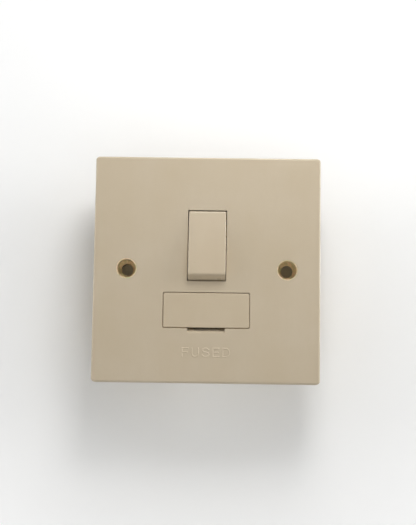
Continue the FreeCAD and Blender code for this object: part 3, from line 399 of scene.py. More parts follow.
@dataclass(frozen=True)
class WorkedMetal:
    """A drawn, rolled or turned metal: fine lines one way, slow tarnish, and brighter rubbed spots."""

    name: str
    tint: Colour
    tarnish: Colour
    lay: Lay = Lay.ALONG_Z
    roughness: float = 0.3
    rough_spread: Pair = (0.07, 0.1)
    tarnish_size: float = 5 * MM
    tarnish_ends: Pair = (0.42, 0.72)
    tarnish_share: float = 0.6
    line_size: float = 0.14 * MM
    line_depth: float = 2.5 * MICRON
    line_ends: Pair = (0.4, 0.75)
    line_share: float = 0.5
    line_light: float = 0.82
    pits: Pattern = Pattern(0.5 * MM, 3, depth=3 * MICRON)

    def build(self) -> Material:
        """Makes the finish: tarnish in the colour, the lay's lines in the roughness and the normal.

        Returns:
            The material.
        """
        s = Shading(self.name)
        lines = s.noise(Pattern(self.line_size, 3, stretch=self.lay.value))
        worn = s.spots(Pattern(self.tarnish_size, 4, self.tarnish_ends, self.tarnish_share))
        body = s.mixed(worn, self.tint, self.tarnish)
        dark_lines = s.between(lines, self.line_ends, 0, self.line_share)
        body = s.mixed(dark_lines, body, dimmed(self.tint, self.line_light))
        rough = s.uneven(lines, self.roughness, self.rough_spread)
        normal = s.bump(lines, self.line_depth, s.relief(self.pits))
        return s.finish(body, rough, normal, Metallic=1.0)


@dataclass(frozen=True)
class TurnedMetal:
    """A metal turned or headed about a line along Y: rings about its axis and slow tarnish."""

    name: str
    tint: Colour
    tarnish: Colour
    axis_x: float
    axis_z: float
    roughness: float = 0.28
    rough: Pattern = Pattern(0.6 * MM, 3)
    rough_spread: Pair = (0.08, 0.14)
    ring_pitch: float = 0.12 * MM
    ring_depth: float = 1.6 * MICRON
    worn: Pattern = Pattern(1.8 * MM, 4, (0.42, 0.7), 0.6)
    dents: Pattern = Pattern(0.7 * MM, 3, depth=6 * MICRON)

    def build(self) -> Material:
        """Makes the finish: rings in the normal, tarnish in the colour.

        Returns:
            The material.
        """
        s = Shading(self.name)
        rings = s.rings(s.from_axis(self.axis_x, self.axis_z), self.ring_pitch)
        body = s.mixed(s.spots(self.worn), self.tint, self.tarnish)
        rough = s.uneven(s.noise(self.rough), self.roughness, self.rough_spread)
        return s.finish(body, rough, s.bump(rings, self.ring_depth, s.relief(self.dents)), Metallic=1.0)


@dataclass(frozen=True)
class PassivatedZinc:
    """Yellow-passivated zinc plate on pressed steel: gold that drifts to green and pink, with drawn lines."""

    name: str
    gold: Colour
    green: Colour
    pink: Colour
    olive: Colour
    roughness: float = 0.34
    rough: Pattern = Pattern(0.9 * MM, 3)
    rough_spread: Pair = (0.08, 0.14)
    drift: Pattern = Pattern(7.0 * MM)
    drift_places: tuple[float, ...] = (0.0, 0.3, 0.55, 0.8, 1.0)
    dull: Pattern = Pattern(0.7 * MM, 3, (0.5, 0.75), 0.3)
    lines: Pattern = Pattern(0.25 * MM, 3, stretch=Lay.ALONG_Y.value, depth=3 * MICRON)
    dents: Pattern = Pattern(1.2 * MM, depth=6 * MICRON)
    metallic: float = 1.0
    # Painted shade: the colour that the finish darkens to past a depth, where shade falls in a hole, and the
    # depths where it comes in
    deep_shade: Colour = (0.03, 0.026, 0.018, 1.0)
    shaded_depths: Pair = NOWHERE

    def build(self) -> Material:
        """Makes the finish: drifting tints in the colour, darkened by painted shade past a depth, and pressing
        marks in the normal.

        Returns:
            The material.
        """
        s = Shading(self.name)
        tints = (self.green, self.olive, self.gold, self.pink, self.gold)
        body = s.colours(s.spots(self.drift), list(zip(self.drift_places, tints)))
        body = s.mixed(s.spots(self.dull), body, self.olive)
        body = s.mixed(s.between(s.depth(), self.shaded_depths, 0, 1), body, self.deep_shade)
        rough = s.uneven(s.noise(self.rough), self.roughness, self.rough_spread)
        return s.finish(body, rough, s.relief(self.dents, s.relief(self.lines)), Metallic=self.metallic)


@dataclass(frozen=True)
class FiredCeramic:
    """An unglazed ceramic tube: off-white with fine dark flecks and a faint grain."""

    name: str
    tint: Colour
    fleck: Colour
    roughness: float = 0.55
    rough: Pattern = Pattern(1.1 * MM)
    rough_spread: Pair = (0.08, 0.08)
    clouds: Pattern = Pattern(2.5 * MM, 2, (0.35, 0.65), 0.25)
    flecks: Pattern = Pattern(0.22 * MM, 2, (0.66, 0.78), 0.6)
    grain: Pattern = Pattern(0.12 * MM, depth=3 * MICRON)
    refraction: float = 1.52

    def build(self) -> Material:
        """Makes the finish: clouds and flecks in the colour, grain in the normal.

        Returns:
            The material.
        """
        s = Shading(self.name)
        body = s.mixed(s.spots(self.clouds), self.tint, self.fleck)
        body = s.mixed(s.spots(self.flecks), body, self.fleck)
        rough = s.uneven(s.noise(self.rough), self.roughness, self.rough_spread)
        return s.finish(body, rough, s.relief(self.grain), IOR=self.refraction)


FRONT_PLASTIC = MouldedPlastic("front_moulding_cream", linear(191, 177, 154), linear(187, 172, 147))
# A lighter copy of the plate's cream for the raised word, which is the same plastic: painted highlight on the
# letters
LIT_LETTER_PLASTIC = MouldedPlastic(
    "raised_letter_lit_cream",
    linear(200, 186, 163),
    linear(196, 181, 157),
    roughness=0.28,
    ripple=Pattern(0.9 * MM, depth=5 * MICRON),
)
ROCKER_PLASTIC = MouldedPlastic("rocker_cream", linear(189, 174, 150), linear(185, 169, 144), roughness=0.32)
CARRIER_PLASTIC = MouldedPlastic(
    "carrier_cream", linear(191, 176, 151), linear(187, 171, 145), roughness=0.34
)
# A darker, browner copy of the carrier's cream for the step inside the cover's gap: painted shade of the gap
SHADED_STEP_PLASTIC = MouldedPlastic("cover_step_shaded_cream", linear(189, 168, 136), linear(183, 161, 128), roughness=0.5)
REAR_PLASTIC = MouldedPlastic(
    "rear_moulding_cream",
    linear(214, 206, 188),
    linear(206, 197, 176),
    roughness=0.52,
    grain=Pattern(0.22 * MM, depth=5 * MICRON),
)
PLUNGER_PLASTIC = MouldedPlastic(
    "plunger_natural",
    linear(232, 230, 222),
    linear(224, 221, 210),
    roughness=0.4,
    clouds=Pattern(3 * MM, 3, (0.32, 0.68)),
)
BRASS_BLOCK = WorkedMetal("extruded_brass", linear(214, 178, 104), linear(176, 136, 72))
BRASS_STRIP = WorkedMetal(
    "rolled_brass_strip",
    linear(219, 186, 112),
    linear(184, 146, 84),
    roughness=0.26,
    line_size=0.09 * MM,
)
SILVER = WorkedMetal(
    "silver_contact",
    linear(226, 224, 216),
    linear(176, 166, 146),
    Lay.ALONG_X,
    tarnish_size=1.2 * MM,
)
TINNED_SHEET = WorkedMetal(
    "tinned_clip",
    linear(206, 200, 186),
    linear(170, 158, 138),
    Lay.ALONG_Y,
    roughness=0.34,
    tarnish_size=2.5 * MM,
)
SPRING_WIRE = WorkedMetal(
    "spring_wire",
    linear(186, 186, 182),
    linear(142, 140, 134),
    Lay.ALONG_Y,
    roughness=0.28,
    tarnish_size=1.5 * MM,
    line_size=0.06 * MM,
)
NICKEL_CAP = WorkedMetal(
    "nickelled_cap",
    linear(222, 219, 210),
    linear(188, 180, 162),
    Lay.ROUND_X,
    roughness=0.2,
    tarnish_size=3 * MM,
    tarnish_share=0.4,
    line_size=0.1 * MM,
)
STRAP_ZINC = PassivatedZinc(
    "passivated_strap",
    linear(206, 188, 134),
    linear(196, 190, 138),
    linear(204, 180, 142),
    linear(194, 178, 126),
)
CUP_ZINC = PassivatedZinc(
    "passivated_cup",
    linear(224, 204, 162),
    linear(199, 200, 156),
    linear(233, 206, 181),
    linear(199, 187, 149),
    roughness=0.46,
    drift=Pattern(1.5 * MM),
    dull=Pattern(0.7 * MM, 3, (0.5, 0.75), 0.4),
    metallic=0.2,
    # Painted shade darkens the rear of the cup's bore
    deep_shade=(0.12, 0.105, 0.078, 1.0),
    shaded_depths=(-3.2 * MM, -2.2 * MM),
)
CERAMIC = FiredCeramic("fuse_ceramic_white", linear(226, 223, 212), linear(176, 168, 150))


@dataclass
class Shell:
    """A closed surface as whole arrays: its points, its four-sided faces and its triangles."""

    points: np.ndarray
    quads: np.ndarray
    triangles: np.ndarray

    @classmethod
    def from_rings(cls, x: np.ndarray, y: np.ndarray, z: np.ndarray) -> "Shell":
        """Joins rings of points into a tube and closes each end to a pole at the middle of its end ring.

        Point (i, j) of the grid joins (i, j+1), (i+1, j+1) and (i+1, j), with j counted round the ring.

        Args:
            x: the points' X, or what widens to it: a row for each ring, a column for each point round it.
            y: their Y, in the same way.
            z: their Z, in the same way.

        Returns:
            The closed surface.
        """
        rings = np.stack(np.broadcast_arrays(x, y, z), axis=-1)
        rows, columns, _ = rings.shape
        row, column = np.meshgrid(np.arange(rows - 1), np.arange(columns), indexing="ij")
        a = row * columns + column
        b = row * columns + (column + 1) % columns
        quads = np.stack([a, b, b + columns, a + columns], axis=-1).reshape(-1, 4)
        around = np.arange(columns)
        following = (around + 1) % columns
        last = (rows - 1) * columns
        first_pole = np.full(columns, rows * columns)
        start = np.stack([following, around, first_pole], axis=-1)
        end = np.stack([last + around, last + following, first_pole + 1], axis=-1)
        points = np.vstack([rings.reshape(-1, 3), rings[[0, -1]].mean(axis=1)])
        return cls(points, quads, np.vstack([start, end]))

    @classmethod
    def turned(cls, radius: np.ndarray, y: np.ndarray, angle: np.ndarray, axis: Axis = (0, 0)) -> "Shell":
        """Joins rings, as above, of points at a radius and an angle about a line along Y at an X and a Z."""
        return cls.from_rings(axis[0] + radius * np.cos(angle), y, axis[1] + radius * np.sin(angle))

    @classmethod
    def joined(cls, shells: list["Shell"]) -> "Shell":
        """Puts several surfaces into one set of arrays.

        Args:
            shells: the surfaces.

        Returns:
            All of them as one.
        """
        starts = np.cumsum([0] + [len(shell.points) for shell in shells[:-1]])
        points = np.vstack([shell.points for shell in shells])
        quads = np.vstack([shell.quads + start for shell, start in zip(shells, starts)])
        triangles = np.vstack([shell.triangles + start for shell, start in zip(shells, starts)])
        return cls(points, quads, triangles)

    def moved(self, step: Triple) -> "Shell":
        """Returns the surface moved by a step in metres."""
        return Shell(self.points + np.array(step), self.quads, self.triangles)

    def placed(self, matrix: Matrix) -> "Shell":
        """Returns the surface with every point turned and moved by a matrix."""
        m = np.array(matrix)
        return Shell(self.points @ m[:3, :3].T + m[:3, 3], self.quads, self.triangles)

    def piece(self, name: str, material: Material) -> bpy.types.Object:
        """Makes the surface an object at the origin, with its faces turned outwards and smoothed by angle.

        Args:
            name: the piece's name.
            material: its finish.

        Returns:
            The object.
        """
        mesh = bpy.data.meshes.new(name)
        mesh.from_pydata(self.points.tolist(), [], self.quads.tolist() + self.triangles.tolist())
        work = bmesh.new()
        work.from_mesh(mesh)
        bmesh.ops.remove_doubles(work, verts=work.verts, dist=MERGE_DISTANCE)
        bmesh.ops.recalc_face_normals(work, faces=work.faces)
        work.to_mesh(mesh)
        work.free()
        mesh.materials.append(material)
        mesh.shade_smooth()
        mesh.set_sharp_from_angle(angle=SHARP_ANGLE)
        return put(name, mesh)

    def settle(self, name: str, material: Material, body: str, slot: str) -> None:
        """Makes the surface a piece that rides on a body, and reports it.

        Args:
            name: the piece's name.
            material: its finish.
            body: the body that carries it.
            slot: not used.
        """
        thing = self.piece(name, material)
        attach(thing, body)
        LOG.info("piece %s rides on %s with %d faces", name, body, len(thing.data.polygons))


def dress(material: Material, *names: str) -> None:
    """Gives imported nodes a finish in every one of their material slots.

    Args:
        material: the finish.
        names: the nodes.
    """
    for name in names:
        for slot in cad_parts[name].material_slots:
            slot.material = material
        LOG.info("node %s is dressed in %s", name, material.name)


def line(*corners: Pair) -> np.ndarray:
    """Returns the corners of a straight stroke as an array."""
    return np.array(corners, float)


def bow(middle: Pair, reach: Pair, start: float, end: float, points: int = 25) -> np.ndarray:
    """Gives points along an oval arc, middle + (reach_x cos a, reach_y sin a) with a from start to end.

    Args:
        middle: the oval's centre.
        reach: its half width and half height.
        start: the first angle in degrees.
        end: the last angle in degrees.
        points: how many points to give.

    Returns:
        The points as an array.
    """
    a = np.radians(np.linspace(start, end, points))
    return np.stack([middle[0] + reach[0] * np.cos(a), middle[1] + reach[1] * np.sin(a)], axis=-1)


@dataclass(frozen=True)
class Capital:
    """A plain line capital: its width as a share of its height, and strokes in a box from 0 to 1 each way."""

    width: float
    strokes: tuple[np.ndarray, ...]


POST = line((0, 0), (0, 1))
TOP_BAR = line((0, 1), (1, 1))
FOOT_BAR = line((0, 0), (1, 0))
D_BOWL = np.vstack([line((0, 1)), bow((0.45, 0.5), (0.55, 0.5), 90, -90), line((0, 0))])
S_CURVE = np.vstack([bow((0.5, 0.76), (0.46, 0.24), 15, 262), bow((0.5, 0.26), (0.5, 0.26), 82, -165)])
U_CURVE = np.vstack([line((0, 1)), bow((0.5, 0.36), (0.5, 0.36), 180, 360), line((1, 1))])
CAPITALS = {
    "D": Capital(0.80, (POST, D_BOWL)),
    "E": Capital(0.70, (POST, TOP_BAR, line((0, 0.51), (0.88, 0.51)), FOOT_BAR)),
    "F": Capital(0.72, (POST, TOP_BAR, line((0, 0.52), (0.84, 0.52)))),
    "I": Capital(0.0, (POST,)),
    "L": Capital(0.66, (POST, FOOT_BAR)),
    "N": Capital(0.80, (POST, line((0, 1), (1, 0)), line((1, 0), (1, 1)))),
    "O": Capital(0.84, (bow((0.5, 0.5), (0.5, 0.5), 0, 360),)),
    "S": Capital(0.80, (S_CURVE,)),
    "T": Capital(0.80, (TOP_BAR, line((0.5, 0), (0.5, 1)))),
    "U": Capital(0.76, (U_CURVE,)),
}


@dataclass(frozen=True)
class RaisedWord:
    """Raised lettering of plain line capitals on a flat face across Y, each stroke a low, level ridge."""

    word: str
    height: float
    gap: float
    stroke_width: float
    proud: float
    facing: Facing = Facing.FRONT
    rooted: float = 0.1 * MM
    step: float = 0.1 * MM
    fewest_steps: int = 4
    tip_points: int = 6
    tip_start: float = 0.12
    section_points: int = 9
    level_power: float = 0.45

    def ridge(self, path: np.ndarray) -> Shell:
        """Carries the ridge along one stroke.

        Its section is (half cos t, out sin(t)^p) with t from 0 to pi and p the level power, closed by a flat
        root under the face. Half and out are w / 2 and the ridge's height times sqrt(1 - e^2), where e falls
        from 1 at either tip to 0 a half width inside it, so that the ends are round.

        Args:
            path: the stroke's line, in metres, across and up.

        Returns:
            The ridge, turned to the side that the word is read from.
        """
        half = self.stroke_width / 2
        first, last = path[1] - path[0], path[-1] - path[-2]
        before = path[:1] - first / np.linalg.norm(first) * half
        beyond = path[-1:] + last / np.linalg.norm(last) * half
        path = np.vstack([before, path, beyond])
        run = np.concatenate([[0], np.cumsum(np.linalg.norm(np.diff(path, axis=0), axis=1))])
        tip = half * (1 - np.cos(np.linspace(self.tip_start, 1, self.tip_points) * math.pi / 2))
        steps = max(self.fewest_steps, int(run[-1] / self.step))
        s = np.concatenate([tip, np.linspace(half, run[-1] - half, steps)[1:-1], run[-1] - tip[::-1]])
        middle = np.stack([np.interp(s, run, path[:, 0]), np.interp(s, run, path[:, 1])], axis=-1)
        along = np.gradient(middle, s, axis=0)
        along /= np.linalg.norm(along, axis=1, keepdims=True)
        side = np.stack([along[:, 1], -along[:, 0]], axis=-1)
        inward = np.clip(1 - np.minimum(s, run[-1] - s) / half, 0, 1)
        swell = np.sqrt(1 - inward**2)[:, None]
        t = np.linspace(0, math.pi, self.section_points)[None]
        across = np.concatenate([half * np.cos(t), [[-half, half]]], axis=1) * swell
        level = self.proud * np.clip(np.sin(t), 0, 1) ** self.level_power
        out = np.concatenate([level * swell, np.full((len(s), 2), -self.rooted)], axis=1)
        turned = self.facing.value
        x = turned * (middle[:, :1] + side[:, :1] * across)
        return Shell.from_rings(x, -turned * out, middle[:, 1:] + side[:, 1:] * across)

    def surface(self) -> Shell:
        """Makes the word about its own middle.

        Returns:
            The word's surface, with the face at Y = 0.
        """
        letters = [CAPITALS[letter] for letter in self.word]
        widths = np.array([letter.width * self.height for letter in letters])
        length = widths.sum() + self.gap * (len(letters) - 1)
        starts = np.cumsum(np.concatenate([[0], widths[:-1] + self.gap])) - length / 2
        strokes = [
            self.ridge(stroke * np.array([width, self.height]) + np.array([start, -self.height / 2]))
            for letter, width, start in zip(letters, widths, starts)
            for stroke in letter.strokes
        ]
        return Shell.joined(strokes)


@dataclass
class FrontPlate:
    """The moulded front plate, with its raised word and the marks that its mould leaves on its back."""

    face_wall: float = 2.6 * MM
    word: RaisedWord = RaisedWord("FUSED", 3.1 * MM, 1.48 * MM, 0.46 * MM, 0.13 * MM)
    word_z: float = -31.15 * MM
    pin_radius: float = 1.7 * MM
    pin_height: float = 0.09 * MM
    pin_radius_shares: tuple[float, ...] = (1.0, 1.0, 0.985, 0.955, 0.92, 0.88, 0.84, 0.6, 0.3)
    pin_height_shares: tuple[float, ...] = (-0.5, 0.0, 0.55, 0.9, 1.0, 0.85, 0.66, 0.62, 0.6)
    pin_points: int = 28
    pin_places: tuple[Pair, ...] = ((36.0, 36.0), (36.0, 23.5), (24.0, 36.5), (0.0, 36.5), (36.0, 8.5))

    def build(self) -> None:
        """Dresses the plate and adds its lettering and pin marks."""
        finish = FRONT_PLASTIC.build()
        dress(finish, "front_plate")
        face_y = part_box("front_plate")[0].y
        word = self.word.surface().moved((0, face_y, self.word_z))
        word.settle("fused_lettering", LIT_LETTER_PLASTIC.build(), "base", "front_moulding")
        marks = self.pin_marks(face_y + self.face_wall)
        marks.settle("plate_pin_marks", finish, "base", "front_moulding")

    def pin_marks(self, back_y: float) -> Shell:
        """Makes the round witness marks of the ejector pins on the plate's back.

        Each is a disc turned about Y, (r cos a, h, r sin a), with r and h the radius and the height times
        their shares: up over the rim, down by a third inside it, and level from there to the centre.

        Args:
            back_y: where the plate's back lies.

        Returns:
            All the marks as one surface.
        """
        radius = np.array(self.pin_radius_shares)[:, None] * self.pin_radius
        height = np.array(self.pin_height_shares)[:, None] * self.pin_height
        disc = Shell.turned(radius, height, once_round(self.pin_points))
        places = np.array(self.pin_places) * MM
        signs = np.array([(1, 1), (1, -1), (-1, 1), (-1, -1)])
        spots = np.unique((places[:, None] * signs[None]).reshape(-1, 2), axis=0)
        steps = np.stack([spots[:, 0], np.full(len(spots), back_y), spots[:, 1]], axis=-1)
        return Shell.joined([disc.moved(step) for step in steps])


@dataclass
class RockerSwitch:
    """The rocker with its sprung plungers, and the contact bars, contacts and strips of both poles."""

    pivot_y: float = -4.0 * MM
    pivot_z: float = 8.9 * MM
    rest_tilt: float = 7.6
    pole_x: float = 3.6 * MM
    spring_start: float = -4.96 * MM
    spring_end: float = 0.30 * MM
    spring_radius: float = 1.42 * MM
    wire_radius: float = 0.17 * MM
    turns: float = 6.5
    dead_coils: float = 1.0
    dead_pitch: float = 2.05
    rows_a_turn: int = 40
    wire_points: int = 10
    poles: tuple[str, str] = ("line", "neutral")
    strips: tuple[str, ...] = ("supply_line_strip", "supply_neutral_strip", "load_line_strip")

    def build(self) -> None:
        """Dresses the switch's nodes and puts a round-wire spring in place of each plain one."""
        dress(ROCKER_PLASTIC.build(), "rocker")
        dress(PLUNGER_PLASTIC.build(), *(f"{pole}_plunger" for pole in self.poles))
        dress(SILVER.build(), *(f"{p}_{kind}_contact" for p in self.poles for kind in ("moving", "fixed")))
        moving = [f"{p}_{kind}" for kind in ("pivot_strip", "contact_bar") for p in self.poles]
        dress(BRASS_STRIP.build(), *self.strips, *moving)
        wire = SPRING_WIRE.build()
        for side, pole in zip(SIDES, self.poles):
            place = self.spring_place(side * self.pole_x)
            spring = self.spring().placed(place).piece(f"{pole}_coil_spring", wire)
            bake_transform(spring)
            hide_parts(f"{pole}_plunger_spring")
            LOG.info("piece %s shortens between rocker and %s_plunger", spring.name, pole)

    def spring_place(self, x: float) -> Matrix:
        """Returns the matrix that tips a spring with the rocker at rest and moves it to its place in it."""
        tip = Matrix.Rotation(math.radians(-self.rest_tilt), 4, "X")
        return Matrix.Translation((x, self.pivot_y, self.pivot_z)) @ tip

    def spring(self) -> Shell:
        """Makes a compression spring with closed ends, along Y from its start to its end.

        The wire's line is (R cos a, s, R sin a) with a = 2 pi * turns * t. Its rise s follows the turns
        between the dead coils, and is about one wire's width a turn in them. The wire's round section is
        carried along it.

        Returns:
            The wire's surface.
        """
        turn = np.linspace(0, self.turns, int(self.turns * self.rows_a_turn))
        length = self.spring_end - self.spring_start
        dead_rise = self.dead_coils * self.dead_pitch * self.wire_radius
        places = [0, self.dead_coils, self.turns - self.dead_coils, self.turns]
        rise = np.interp(turn, places, [0, dead_rise, length - dead_rise, length])[:, None]
        around = once_round(self.wire_points)
        reach = self.spring_radius + self.wire_radius * np.cos(around)
        y = self.spring_start + rise + self.wire_radius * np.sin(around)
        return Shell.turned(reach, y, FULL_TURN * turn[:, None])


@dataclass
class FuseCarrier:
    """The pull-out carrier with its cartridge fuse, and the two clips that hold the fuse's caps."""

    cover_reach: Pair = (16.0 * MM, 6.45 * MM)
    corner_radius: float = 0.5 * MM
    notch_half: float = 7.2 * MM
    step_out: float = 0.2 * MM
    step_root: float = 0.1 * MM
    step_chamfer: float = 0.05 * MM
    step_depths: Pair = (0.45 * MM, 0.95 * MM)
    corner_points: int = 8

    def build(self) -> None:
        """Dresses the carrier, the fuse and the clips, and adds the step round the carrier's cover."""
        dress(CARRIER_PLASTIC.build(), "fuse_carrier")
        dress(CERAMIC.build(), "fuse_tube")
        dress(NICKEL_CAP.build(), "left_fuse_cap", "right_fuse_cap")
        dress(TINNED_SHEET.build(), "supply_fuse_clip", "load_fuse_clip")
        step = self.cover_step()
        step.settle("carrier_cover_step", SHADED_STEP_PLASTIC.build(), "fuse_carrier", "front_moulding")

    def cover_step(self) -> Shell:
        """Makes the narrow step that the mould's parting leaves round the cover, a little behind its face.

        Its line is the cover's outline, corner + (r + out)(cos a, sin a) with a going a quarter turn at each
        corner, and it stops at either side of the notch. Its section is a bar with one small chamfer, rooted
        in the cover's side.

        Returns:
            The step's surface.
        """
        middle = middle_of("fuse_carrier")
        reach = np.array(self.cover_reach) - self.corner_radius
        quarter = np.linspace(-math.pi / 2, 0, self.corner_points)
        turns = [quarter + k * math.pi / 2 for k in range(4)]
        angle = np.concatenate([quarter[:1], *turns, quarter[:1]])[:, None]
        signs = np.repeat(np.array([(1, -1), (1, 1), (-1, 1), (-1, -1)]), self.corner_points, axis=0)
        ends = np.array([(self.notch_half, -reach[1]), (-self.notch_half, -reach[1])])
        corners = np.vstack([ends[:1], signs * reach, ends[1:]]) + (middle.x, middle.z)
        crest = self.step_out - self.step_chamfer
        section = np.array([-self.step_root, crest, self.step_out, self.step_out, -self.step_root])
        out = self.corner_radius + section
        front, back = (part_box("fuse_carrier")[0].y + depth for depth in self.step_depths)
        y = np.array([front, front, front + self.step_chamfer, back, back])
        return Shell.turned(out, y, angle, (corners[:, :1], corners[:, 1:]))


@dataclass
class Terminals:
    """The six brass terminal blocks and their slotted screws, whose threads are cut here."""

    core_radius: float = 1.64 * MM
    crest_radius: float = 1.93 * MM
    pitch: float = 0.7 * MM
    head_height: float = 2.2 * MM
    inset: float = 0.05 * MM
    root_share: float = 0.12
    flank_share: float = 0.72
    fade_share: float = 1 / 3
    rows_a_pitch: int = 10
    columns: int = 44
    brass: Colour = linear(216, 184, 116)
    worn_brass: Colour = linear(182, 144, 84)
    mains: tuple[str, ...] = ("supply_line", "supply_neutral", "load_line", "load_neutral")
    earth: tuple[str, ...] = ("left_earth", "right_earth")

    def build(self) -> None:
        """Dresses the blocks and screws, and cuts each screw's thread."""
        dress(BRASS_BLOCK.build(), *(f"{name}_terminal" for name in self.mains + self.earth))
        for group, names in (("mains", self.mains), ("earth", self.earth)):
            axis = middle_of(f"{names[0]}_screw")
            title = f"{group}_terminal_screw_brass"
            finish = TurnedMetal(title, self.brass, self.worn_brass, axis.x, axis.z).build()
            for name in names:
                dress(finish, f"{name}_screw")
                thread = self.thread(f"{name}_screw")
                thread.settle(f"{name}_screw_thread", finish, f"{name}_screw", "terminal_screw")

    def thread(self, node: str) -> Shell:
        """Cuts a screw's thread from its tip to its head.

        The radius is core + depth * tooth(frac(s / pitch - a / 2 pi)), with s along the screw and a round it.
        The tooth is a peak with a flat crest and root, and fades out over a third of a pitch at each end.

        Args:
            node: the screw's node.

        Returns:
            The threaded shank's surface.
        """
        low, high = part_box(node)
        axis = middle_of(node)
        length = high.y - self.head_height - low.y - self.inset
        s = np.linspace(self.inset, length, int(length / self.pitch * self.rows_a_pitch))[:, None]
        a = once_round(self.columns)
        phase = np.mod(s / self.pitch - a / FULL_TURN, 1)
        tooth = np.clip((1 - np.abs(2 * phase - 1) - self.root_share) / self.flank_share, 0, 1)
        fade = np.clip(np.minimum(s - self.inset, length - s) / (self.pitch * self.fade_share), 0, 1)
        radius = self.core_radius + (self.crest_radius - self.core_radius) * tooth * fade
        return Shell.turned(radius, low.y + s, a, (axis.x, axis.z))


@dataclass
class RearHousing:
    """The rear moulding, its four screws and the plain letters that tell its terminals apart."""

    floor_wall: float = 2.0 * MM
    screw_head_radius: float = 2.7 * MM
    screw_zinc: Colour = linear(196, 198, 200)
    screw_dull: Colour = linear(150, 150, 150)
    letter_height: float = 2.2 * MM
    letter_gap: float = 0.62 * MM
    letter_stroke: float = 0.46 * MM
    letter_proud: float = 0.3 * MM
    letter_z: float = 16.6 * MM
    poles: tuple[tuple[str, str], ...] = (("line", "L"), ("neutral", "N"))
    sides: tuple[tuple[str, str], ...] = (("supply", "IN"), ("load", "OUT"))
    sprue_place: Pair = (0.0, 9.4 * MM)
    sprue_radius: float = 0.9 * MM
    sprue_height: float = 0.22 * MM
    sprue_ripple: float = 0.12 * MM
    sprue_ripples: int = 5
    sprue_lobe: float = 0.04
    sprue_lobes: int = 3
    sprue_root: float = 0.1 * MM
    sprue_tip: float = 0.08
    sprue_rows: int = 9
    sprue_points: int = 30

    def build(self) -> None:
        """Dresses the housing and its screws, and adds its letters and its sprue mark."""
        finish = REAR_PLASTIC.build()
        dress(finish, "rear_housing")
        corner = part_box("housing_screws")[1]
        axis = (corner.x - self.screw_head_radius, corner.z - self.screw_head_radius)
        zinc = TurnedMetal("bright_zinc_screw", self.screw_zinc, self.screw_dull, *axis)
        dress(zinc.build(), "housing_screws")
        back_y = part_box("supply_line_terminal")[1].y + self.floor_wall
        for (side, _), (pole, word) in product(self.sides, self.poles):
            axis = middle_of(f"{side}_{pole}_screw")
            place = (axis.x, back_y, math.copysign(self.letter_z, axis.z))
            self.mark(f"{side}_{pole}_letter", word, place, finish)
        for side, word in self.sides:
            self.mark(f"{side}_mark", word, (0, back_y, middle_of(f"{side}_line_screw").z), finish)
        self.sprue_mark(back_y).settle("housing_sprue_mark", finish, "base", "rear_moulding")

    def mark(self, name: str, word: str, place: Triple, finish: Material) -> None:
        """Adds one marking, to be read from behind.

        Args:
            name: the piece's name.
            word: its letters.
            place: its centre, on the housing's back.
            finish: the housing's own finish.
        """
        size = (self.letter_height, self.letter_gap, self.letter_stroke, self.letter_proud)
        letters = RaisedWord(word, *size, Facing.BACK).surface().moved(place)
        letters.settle(name, finish, "base", "rear_moulding")

    def sprue_mark(self, back_y: float) -> Shell:
        """Makes the small nub where the moulding's sprue broke off.

        Its height over the radius is h * (1 - u^2) with ripples sin(n a) * u (1 - u) that die out at the
        centre and the rim, and its rim swells by sin(m a), with n ripples and m lobes.

        Args:
            back_y: where the housing's back lies.

        Returns:
            The nub's surface.
        """
        u = np.linspace(1, self.sprue_tip, self.sprue_rows)[:, None]
        a = once_round(self.sprue_points)
        ripple = self.sprue_ripple * np.sin(self.sprue_ripples * a) * u * (1 - u)
        height = self.sprue_height * (1 - u**2) + ripple
        radius = self.sprue_radius * u * (1 + self.sprue_lobe * np.sin(self.sprue_lobes * a))
        radius, height = (np.concatenate([part[:1], part]) for part in (radius, height))
        height[0] -= self.sprue_root
        return Shell.turned(radius, back_y + height, a, self.sprue_place)


@dataclass
class EarthPath:
    """The folded earth strap and the two screw cups that line the fixing holes."""

    strap: str = "earth_strap"
    cups: tuple[str, str] = ("left_screw_cup", "right_screw_cup")

    def build(self) -> None:
        """Dresses the strap and the cups in yellow-passivated zinc, duller in the cups."""
        dress(STRAP_ZINC.build(), self.strap)
        dress(CUP_ZINC.build(), *self.cups)


@dataclass(frozen=True)
class SoftLamp:
    """A square soft lamp, given by the share of plain light that it throws on the unit."""

    name: str
    place: Triple
    side: float
    share: float

    def build(self) -> None:
        """Puts the lamp in the scene, turned to the unit.

        A small lamp of power P at a distance d lights a surface that faces it as plainly as P / (pi^2 d^2).
        """
        data = bpy.data.lights.new(self.name, "AREA")
        data.shape = "SQUARE"
        data.size = self.side
        data.energy = math.pi**2 * Vector(self.place).length_squared * self.share
        lamp = put(self.name, data)
        lamp.location = self.place
        lamp.rotation_euler = (-Vector(self.place)).to_track_quat("-Z", "Y").to_euler()


@dataclass(frozen=True)
class PhotoCamera:
    """The camera where the photograph was taken from, in degrees and metres about the plate's face."""

    distance: float = 0.450
    azimuth: float = 0.73
    elevation: float = -6.65
    roll: float = 0.84
    focal_length_px: float = 1201.5
    long_side_px: float = 525
    sensor: float = 36.0
    nearest: float = 0.01
    aim: Triple = (0.41 * MM, -9.0 * MM, 2.51 * MM)

    def build(self) -> None:
        """Makes the camera and sets it as the scene's.

        It stands back from the aim along (cos e sin a, -cos e cos a, sin e), and its upright is turned by
        the roll about its line of sight.
        """
        a, e, r = (math.radians(v) for v in (self.azimuth, self.elevation, self.roll))
        back = Vector((math.cos(e) * math.sin(a), -math.cos(e) * math.cos(a), math.sin(e)))
        turn = back.to_track_quat("Z", "Y").to_matrix().to_4x4() @ Matrix.Rotation(r, 4, "Z")
        data = bpy.data.cameras.new("photo_camera")
        data.sensor_width = self.sensor
        data.lens = self.focal_length_px / self.long_side_px * self.sensor
        data.clip_start = self.nearest
        camera = put("photo_camera", data)
        camera.matrix_world = Matrix.Translation(Vector(self.aim) + back * self.distance) @ turn
        bpy.context.scene.camera = camera


